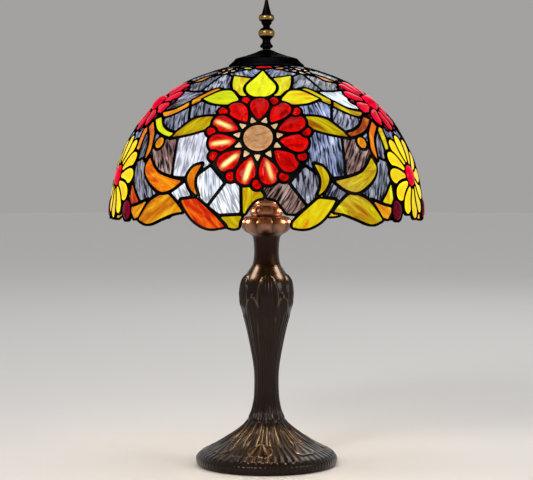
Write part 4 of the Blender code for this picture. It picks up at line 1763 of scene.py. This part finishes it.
        # The collar's neck under its bulge is kept dark, as painted shade.
        collar = Casting("lobed_collar_cast", self.collar_outer, self.collar_inner, self.collar_relief,
                         steps=216, spacing=1.2, rub_low=-5.0, rub_high=0.4, painted_shade_below=300.0)
        ring = Casting("collar_ring_cast", self.ring_outer, self.ring_inner, self.ring_relief,
                       steps=144, spacing=0.7, rub_low=-1.5, rub_high=0.0)
        for casting, metal in ((foot, bronze), (stem, bronze), (collar, copper), (ring, copper)):
            piece = casting.build(metal)
            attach(piece, "root")
            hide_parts(casting.name.removesuffix("_cast"))
            made.append(piece)
        return made


AXIS_RADIUS = 0.02  # radius of a turned ring where its outline meets the axis


@dataclass
class Turner:
    """Turns small pieces by extruding a ring of edges along an outline.

    Attributes:
        steps: Edges round the piece.
        spacing: Distance between rings on a smooth outline.
    """

    steps: int = 56
    spacing: float = 0.9

    def turn(self, name: str, outline: Array, material: Material, closed: bool) -> Object:
        """Makes a turned piece about Z.

        Args:
            name: Its name.
            outline: Its outline, as (radius, height) in millimetres.
            material: Its material.
            closed: Whether the outline comes back to its start, rather than ending on the axis.

        Returns:
            The object.
        """
        radii = np.maximum(outline[:, 0], AXIS_RADIUS) * MM
        levels = outline[:, 1] * MM
        bpy.ops.object.select_all(action="DESELECT")
        bpy.ops.mesh.primitive_circle_add(vertices=self.steps, radius=radii[0], location=(0, 0, levels[0]))
        made = bpy.context.object
        made.name = name
        bpy.ops.object.transform_apply(location=True, rotation=True, scale=True)
        bpy.ops.object.mode_set(mode="EDIT")
        bpy.ops.mesh.select_all(action="SELECT")
        for number in range(1, len(radii)):
            rise = levels[number] - levels[number - 1]
            bpy.ops.mesh.extrude_edges_move(TRANSFORM_OT_translate={"value": (0, 0, rise)})
            grow = radii[number] / radii[number - 1]
            bpy.ops.transform.resize(value=(grow, grow, 1), center_override=(0, 0, levels[number]))
        bpy.ops.mesh.select_all(action="DESELECT")
        bpy.ops.mesh.select_non_manifold()
        if closed:
            bpy.ops.mesh.bridge_edge_loops()
        else:
            bpy.ops.mesh.fill()
        bpy.ops.mesh.select_all(action="SELECT")
        bpy.ops.mesh.normals_make_consistent(inside=False)
        bpy.ops.object.mode_set(mode="OBJECT")
        bpy.ops.object.shade_smooth_by_angle(angle=math.radians(38))
        made.data.materials.clear()
        made.data.materials.append(material)
        return made


@dataclass
class Crown:
    """The heat cap over the shade's opening and the finial that holds it.

    Attributes:
        cap_outer, cap_inner: The cap's sides, as (radius, height).
        finial_outer, finial_bore: The finial's side and its hole.
        petals: Petals on the cap.
        worn_radii: The finial's patina is whole below the first radius and gone from the second.
    """

    cap_outer: Sequence[Point] = (
        (3.6, 538.5), (6.5, 538.2), (10, 536.4), (14, 534.6), (22.9, 531.6), (31, 529.6), (39.2, 527.2),
        (41.4, 525.2), (44.6, 522.0), (48.4, 518.8), (48.8, 517.5),
    )
    cap_inner: Sequence[Point] = (
        (47.2, 517.5), (40.5, 523.4), (38.5, 525.4), (22.4, 530.0), (13.5, 533.0), (6, 536.0),
        (3.6, 536.5),
    )
    finial_outer: Sequence[Point] = (
        (0, 610), (0.9, 607.5), (1.7, 603.5), (3.4, 595), (5.2, 588.2), (6.6, 584.4), (8.6, 583.4),
        (10.0, 581.2), (10.0, 578), (8.6, 575.7), (6.9, 574.5), (6.6, 572.2), (4.6, 569.4),
        (4.8, 567.4), (7.8, 565.4), (10.2, 562.2), (10.5, 559), (9.4, 555.6), (7.2, 553.2),
        (5.6, 551.6), (5.4, 548.2), (7.8, 544.6), (8.5, 542.8), (7.2, 541.0), (4.9, 540.4),
        (6.2, 538.9),
    )
    finial_bore: Sequence[Point] = ((3.6, 538.9), (3.6, 549.0), (0, 549.6))
    petals: int = 12
    worn_radii: Point = (8.6, 10.2)

    def cap_relief(self, turn: Array, out: Array, level: Array) -> Array:
        """Low petals round the finial."""
        petal = np.abs(np.cos(self.petals / 2 * turn)) ** 0.7
        weight = between(out, 6, 9) * (1 - between(out, 21 + 3 * petal, 24 + 3 * petal))
        return -0.9 * (1 - petal) * weight + 0.5 * weight * between(petal, 0.3, 0.8)

    def build(self, black: Material, worn: Material) -> list[Object]:
        """Makes the cap and the finial."""
        casting = Casting("heat_cap_cast", self.cap_outer, self.cap_inner, self.cap_relief,
                          steps=144, spacing=0.9, rub_low=-0.4, rub_high=1.6)
        cap = casting.build(black)
        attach(cap, "cap")
        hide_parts("heat_cap")
        outline = np.concatenate([smooth_line(self.finial_outer, 0.7), np.array(self.finial_bore, float)])
        finial = Turner().turn("finial_turned", outline, worn, closed=False)
        spots = np.empty(3 * len(finial.data.vertices))
        finial.data.vertices.foreach_get("co", spots)
        across, along = spots[0::3] / MM, spots[1::3] / MM
        paint = finial.data.color_attributes.new(name="tone", type="FLOAT_COLOR", domain="POINT")
        paint.data.foreach_set("color", np.repeat(between(np.hypot(across, along), *self.worn_radii), 4))
        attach(finial, "finial")
        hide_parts("finial")
        return [cap, finial]


@dataclass
class Fittings:
    """Sockets, bulbs and pull chains under the shade, and the finishes of the plain fittings.

    Attributes:
        centre_z: Height where the sockets' axes meet.
        tilt_deg: Slope of each socket's axis above the level.
        chain_x: Distance of each pull chain from the lamp's axis.
        chain_top: Height of a chain's top.
        bell_top: Height of the top of the bell under it.
        ball: Radius of a chain's balls.
        balls: Balls on a chain.
        cap, shell, bulb: The turned pieces' outlines, as (radius, distance from the lamp's axis).
        bell: The bell's outline, as (radius, height from its top).
    """

    centre_z: float = 372.0
    tilt_deg: float = 15.0
    chain_x: float = 47.5
    chain_top: float = 361.0
    bell_top: float = 345.5
    ball: float = 1.2
    balls: int = 5
    cap: Sequence[Point] = (
        (18, 46), (18, 42.6), (17.4, 38.5), (15.4, 34.2), (11, 31.0), (5.4, 30), (5.2, 31.5),
        (10.4, 32), (15.3, 36), (16.8, 42.5), (16.8, 46),
    )
    shell: Sequence[Point] = (
        (18.6, 86), (18.9, 84.8), (18.5, 83.5), (17.6, 82), (17.6, 78), (18.1, 77), (17.6, 76),
        (17.6, 52), (18.0, 51), (17.6, 50), (17.7, 48.6), (18.2, 47.6), (18.2, 46.4), (16.5, 46.4),
        (16.5, 82.5), (17.2, 84), (17.2, 86),
    )
    bulb: Sequence[Point] = (
        (0, 151), (4.6, 150.6), (9, 149.3), (13.3, 147.2), (17, 144.3), (20.2, 140.6), (22.3, 136),
        (23.6, 131), (24, 126), (23.7, 121), (22.6, 116), (20.7, 110.4), (18.6, 105), (16.3, 99.6),
        (14.6, 95), (13.6, 90.5), (13.2, 86.4), (12.2, 86.4), (13.6, 95), (17.6, 105), (21.6, 116),
        (23, 126), (21.4, 135.4), (16.3, 143.4), (8.6, 148.3), (0, 150),
    )
    bell: Sequence[Point] = (
        (0, 0), (1.3, -0.3), (1.9, -1.4), (2.2, -3), (3.1, -5.4), (4.5, -7.7), (5.2, -9), (5.1, -10),
        (0, -10),
    )

    def placed(self, piece: Object, sign: int) -> None:
        """Puts a piece that is turned about Z on a socket's axis."""
        slope = math.radians(self.tilt_deg)
        axis = Vector((sign * math.cos(slope), 0, math.sin(slope)))
        turn = Vector((0, 0, 1)).rotation_difference(axis).to_matrix().to_4x4()
        piece.data.transform(Matrix.Translation((0, 0, self.centre_z * MM)) @ turn)

    def chain(self, side: str, sign: int, brass: Material) -> Object:
        """A string of small balls on a wire."""
        bpy.ops.object.select_all(action="DESELECT")
        length = self.chain_top - self.bell_top - 0.4
        pitch = (length - 2 * self.ball) / (self.balls - 1)
        across = sign * self.chain_x * MM
        parts = []
        for number in range(self.balls):
            height = self.chain_top - self.ball - number * pitch
            bpy.ops.mesh.primitive_uv_sphere_add(
                segments=16, ring_count=10, radius=self.ball * MM, location=(across, 0, height * MM)
            )
            parts.append(bpy.context.object)
        middle = (across, 0, (self.chain_top - length / 2) * MM)
        depth = (length - self.ball) * MM
        bpy.ops.mesh.primitive_cylinder_add(vertices=10, radius=0.4 * MM, depth=depth, location=middle)
        parts.append(bpy.context.object)
        for part in parts:
            part.select_set(True)
        bpy.ops.object.join()
        made = bpy.context.object
        bpy.ops.object.transform_apply(location=True, rotation=True, scale=True)
        bpy.ops.object.shade_smooth_by_angle(angle=math.radians(50))
        made.name = f"pull_chain_balls_{side}"
        made.data.materials.clear()
        made.data.materials.append(brass)
        return made

    def build(self, brass: Material, glow: Material) -> list[Object]:
        """Makes the fittings on both sides."""
        made = []
        for side, sign in (("left", -1), ("right", 1)):
            turned = (
                ("socket_cap", self.cap, brass, "root", "brass", True),
                ("socket_shell", self.shell, brass, "root", "brass", True),
                ("bulb_glass", self.bulb, glow, f"bulb_{side}", "bulb_glass", False),
            )
            for name, outline, material, body, slot, closed in turned:
                piece = Turner(48).turn(f"{name}_turned_{side}", np.array(outline, float), material, closed)
                self.placed(piece, sign)
                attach(piece, body)
                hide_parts(f"{name}_{side}")
                made.append(piece)
            name = f"chain_bell_turned_{side}"
            bell = Turner(32).turn(name, np.array(self.bell, float), brass, closed=False)
            bell.data.transform(Matrix.Translation((sign * self.chain_x * MM, 0, self.bell_top * MM)))
            chain = self.chain(side, sign, brass)
            for piece, node in ((bell, f"chain_bell_{side}"), (chain, f"pull_chain_{side}")):
                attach(piece, f"pull_{side}")
                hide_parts(node)
                made.append(piece)
        return made

    def dress(self, finishes: dict[str, Material]) -> None:
        """Gives each CAD node that is shown its finish."""
        shown = {
            "brass": ("cluster_body", "seat_nut", "spider_wheel", "crown_ring", "top_nut",
                      "socket_nipple_left", "socket_nipple_right"),
            "steel": ("centre_pipe", "shade_rod", "lock_washer", "bottom_nut", "bulb_base_left",
                      "bulb_base_right"),
            "iron": ("base_ballast",),
            "felt": ("felt_pad",),
            "plastic": ("cord_gland", "switch_core_left", "switch_core_right"),
            "liner": ("socket_liner_left", "socket_liner_right"),
        }
        for finish, nodes in shown.items():
            for node in nodes:
                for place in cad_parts[node].material_slots:
                    place.material = finishes[finish]


@dataclass(frozen=True)
class PlainFinish:
    """A finish without a pattern of its own, with a fine grain.

    Attributes:
        name: The finish's name.
        colour: Its colour.
        roughness: Its roughness.
        metallic: Whether it is metal, from 0 to 1.
        grain: Scale of the grain, per metre.
        depth: Depth of the grain, in millimetres.
        glow: Strength of its own light.
    """

    name: str
    colour: Colour
    roughness: float
    metallic: float = 0.0
    grain: float = 800.0
    depth: float = 0.1
    glow: float = 0.0

    def build(self) -> Material:
        """Returns the material."""
        sheet = NodeSheet(self.name)
        clouds = sheet.noise(sheet.coordinates(), self.grain, detail=3.0)
        dark = tuple(channel * 0.6 for channel in self.colour)
        sheet.link(sheet.ramp(clouds, [(0.3, dark), (0.7, self.colour)]), sheet.shader.inputs["Base Color"])
        sheet.set(Roughness=self.roughness, Metallic=self.metallic)
        if self.glow:
            sheet.set(Emission_Color=(*self.colour, 1.0), Emission_Strength=self.glow)
        sheet.bump(clouds, 0.4, self.depth * MM)
        return sheet.material


def fitting_finishes() -> dict[str, Material]:
    """Makes the materials of the fittings."""
    plain = {
        "steel": PlainFinish("steel_plated", hue(168, 166, 160), 0.32, 1.0, 300.0, 0.03),
        "iron": PlainFinish("iron_cast", hue(62, 60, 60), 0.7, 0.8, 500.0, 0.4),
        "felt": PlainFinish("felt_dark", hue(44, 40, 36), 0.95, 0.0, 1400.0, 0.5),
        "plastic": PlainFinish("plastic_black", hue(26, 26, 27), 0.45, 0.0, 900.0, 0.05),
        "liner": PlainFinish("liner_card", hue(206, 198, 180), 0.85, 0.0, 900.0, 0.1),
        "bulb": PlainFinish("bulb_lit", hue(255, 226, 180), 0.3, 0.0, 60.0, 0.0, 6.0),
    }
    made = {name: finish.build() for name, finish in plain.items()}
    made["brass"] = Patina("brass_aged", hue(86, 62, 34), hue(202, 162, 96), 0.55, 0.3, 0.05).build()
    return made


# ----- The room -----


Place = tuple[float, float, float]
PAPER = (0.74, 0.72, 0.70, 1.0)  # colour of the floor and of the backdrop
# The soft lights: name, place, size and power in watts.
LIGHTS: tuple[tuple[str, Place, float, float], ...] = (
    ("light_key", (-1.3, -2.4, 1.9), 0.7, 34),
    ("light_fill", (2.2, -1.2, 1.1), 0.9, 14),
    ("light_back", (0.6, 2.2, 1.9), 1.4, 9),
    ("light_top", (0, -0.3, 2.6), 1.2, 8),
)


@dataclass(frozen=True)
class Studio:
    """A pale floor against a backdrop of its own tone, soft lights, and the camera.

    Attributes:
        lens: Focal length in millimetres, on a 36 mm sensor.
        eye: The camera's place in metres.
        aim: The point that it looks at.
        light_aim: The point that the soft lights are turned to.
    """

    lens: float = 120.0
    eye: Place = (0.0, -2.303, 0.4134)
    aim: Place = (0.0, 0.0, 0.2927)
    light_aim: Place = (0.0, 0.0, 0.3)

    def floor(self) -> Object:
        """The floor."""
        bpy.ops.object.select_all(action="DESELECT")
        bpy.ops.mesh.primitive_circle_add(vertices=64, radius=9.0, fill_type="NGON", location=(0, 0, 0))
        made = bpy.context.object
        made.name = "floor"
        sheet = NodeSheet("floor_paper")
        sheet.set(Base_Color=PAPER, Roughness=0.7)
        made.data.materials.append(sheet.material)
        return made

    def placed(self, name: str, data: bpy.types.ID, place: Place, aim: Place | None = None) -> Object:
        """Puts a light or a camera at a place, turned to its aim."""
        made = bpy.data.objects.new(name, data)
        made.location = place
        if aim:
            made.rotation_euler = (Vector(aim) - Vector(place)).to_track_quat("-Z", "Y").to_euler()
        bpy.context.scene.collection.objects.link(made)
        return made

    def light(self) -> None:
        """Makes the soft lights and the small ones at the bulbs."""
        for name, place, size, watts in LIGHTS:
            soft = bpy.data.lights.new(name, "AREA")
            soft.size = size
            soft.energy = watts
            self.placed(name, soft, place, self.light_aim)
        for side in (-1, 1):
            bulb = bpy.data.lights.new(f"bulb_light_{side}", "POINT")
            bulb.energy = 1.0
            bulb.color = (1.0, 0.86, 0.68)
            bulb.shadow_soft_size = 0.032
            self.placed(bulb.name, bulb, (side * 0.115, 0, 0.362))

    def backdrop(self) -> bpy.types.World:
        """A world that lights the lamp white and shows the paper's tone behind it."""
        world = bpy.data.worlds.new("room")
        world.use_nodes = True
        nodes, links = world.node_tree.nodes, world.node_tree.links
        nodes["Background"].inputs["Strength"].default_value = 0.5
        path = nodes.new("ShaderNodeLightPath")
        tint = nodes.new("ShaderNodeMix")
        tint.data_type = "RGBA"
        links.new(path.outputs["Is Camera Ray"], tint.inputs[0])
        tint.inputs[6].default_value = (1.0, 1.0, 1.0, 1.0)
        tint.inputs[7].default_value = PAPER
        links.new(tint.outputs[2], nodes["Background"].inputs["Color"])
        return world

    def build(self) -> None:
        """Makes the floor, the lights, the world and the camera."""
        scene = bpy.context.scene
        self.floor()
        self.light()
        scene.world = self.backdrop()
        scene.view_settings.view_transform = "Standard"
        camera = bpy.data.cameras.new("camera")
        camera.lens = self.lens
        camera.sensor_width = 36.0
        scene.camera = self.placed("camera", camera, self.eye, self.aim)


def main() -> None:
    """Builds the lamp's looks, one sub-assembly after another."""
    logging.basicConfig(level=logging.INFO, format="%(name)s: %(message)s")
    finishes = shade_finishes()
    black = Patina("solder_black", (0.003, 0.003, 0.003), (0.018, 0.016, 0.015), 0.2, 0.42, edge=0.2).build()
    shade = LeadedShade()
    for piece, sector, glass in shade.build_glass(finishes):
        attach(piece, "shade")
        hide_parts(f"shade_panel_{sector}")
        log.info("%s: %d faces", piece.name, len(piece.data.polygons))
    solder = shade.build_lead(black)
    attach(solder, "shade")
    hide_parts(*[f"shade_panel_{sector}" for sector in SECTORS])
    log.info("%s: %d faces", solder.name, len(solder.data.polygons))
    bronze = Patina("bronze_cast", hue(36, 25, 18), hue(184, 154, 108), 0.38, 0.27, 0.2, True, 0.28).build()
    copper = Patina("copper_cast", hue(46, 31, 25), hue(168, 122, 98), 0.42, 0.3, 0.1, True).build()
    cap_black = Patina("cap_black", (0.006, 0.006, 0.007), (0.03, 0.028, 0.025), 0.2, 0.4, 0.1, True,
                       edge=0.2).build()
    finial_worn = Patina("finial_worn", hue(15, 13, 12), hue(186, 150, 86), 0.2, 0.24, 0.1, True,
                         edge=0.5).build()
    fittings = fitting_finishes()
    pieces = Column().build(bronze, copper) + Crown().build(cap_black, finial_worn)
    pieces += Fittings().build(fittings["brass"], fittings["bulb"])
    Fittings().dress(fittings)
    for piece in pieces:
        log.info("%s: %d faces", piece.name, len(piece.data.polygons))
    Studio().build()


if __name__ == "__main__":
    main()
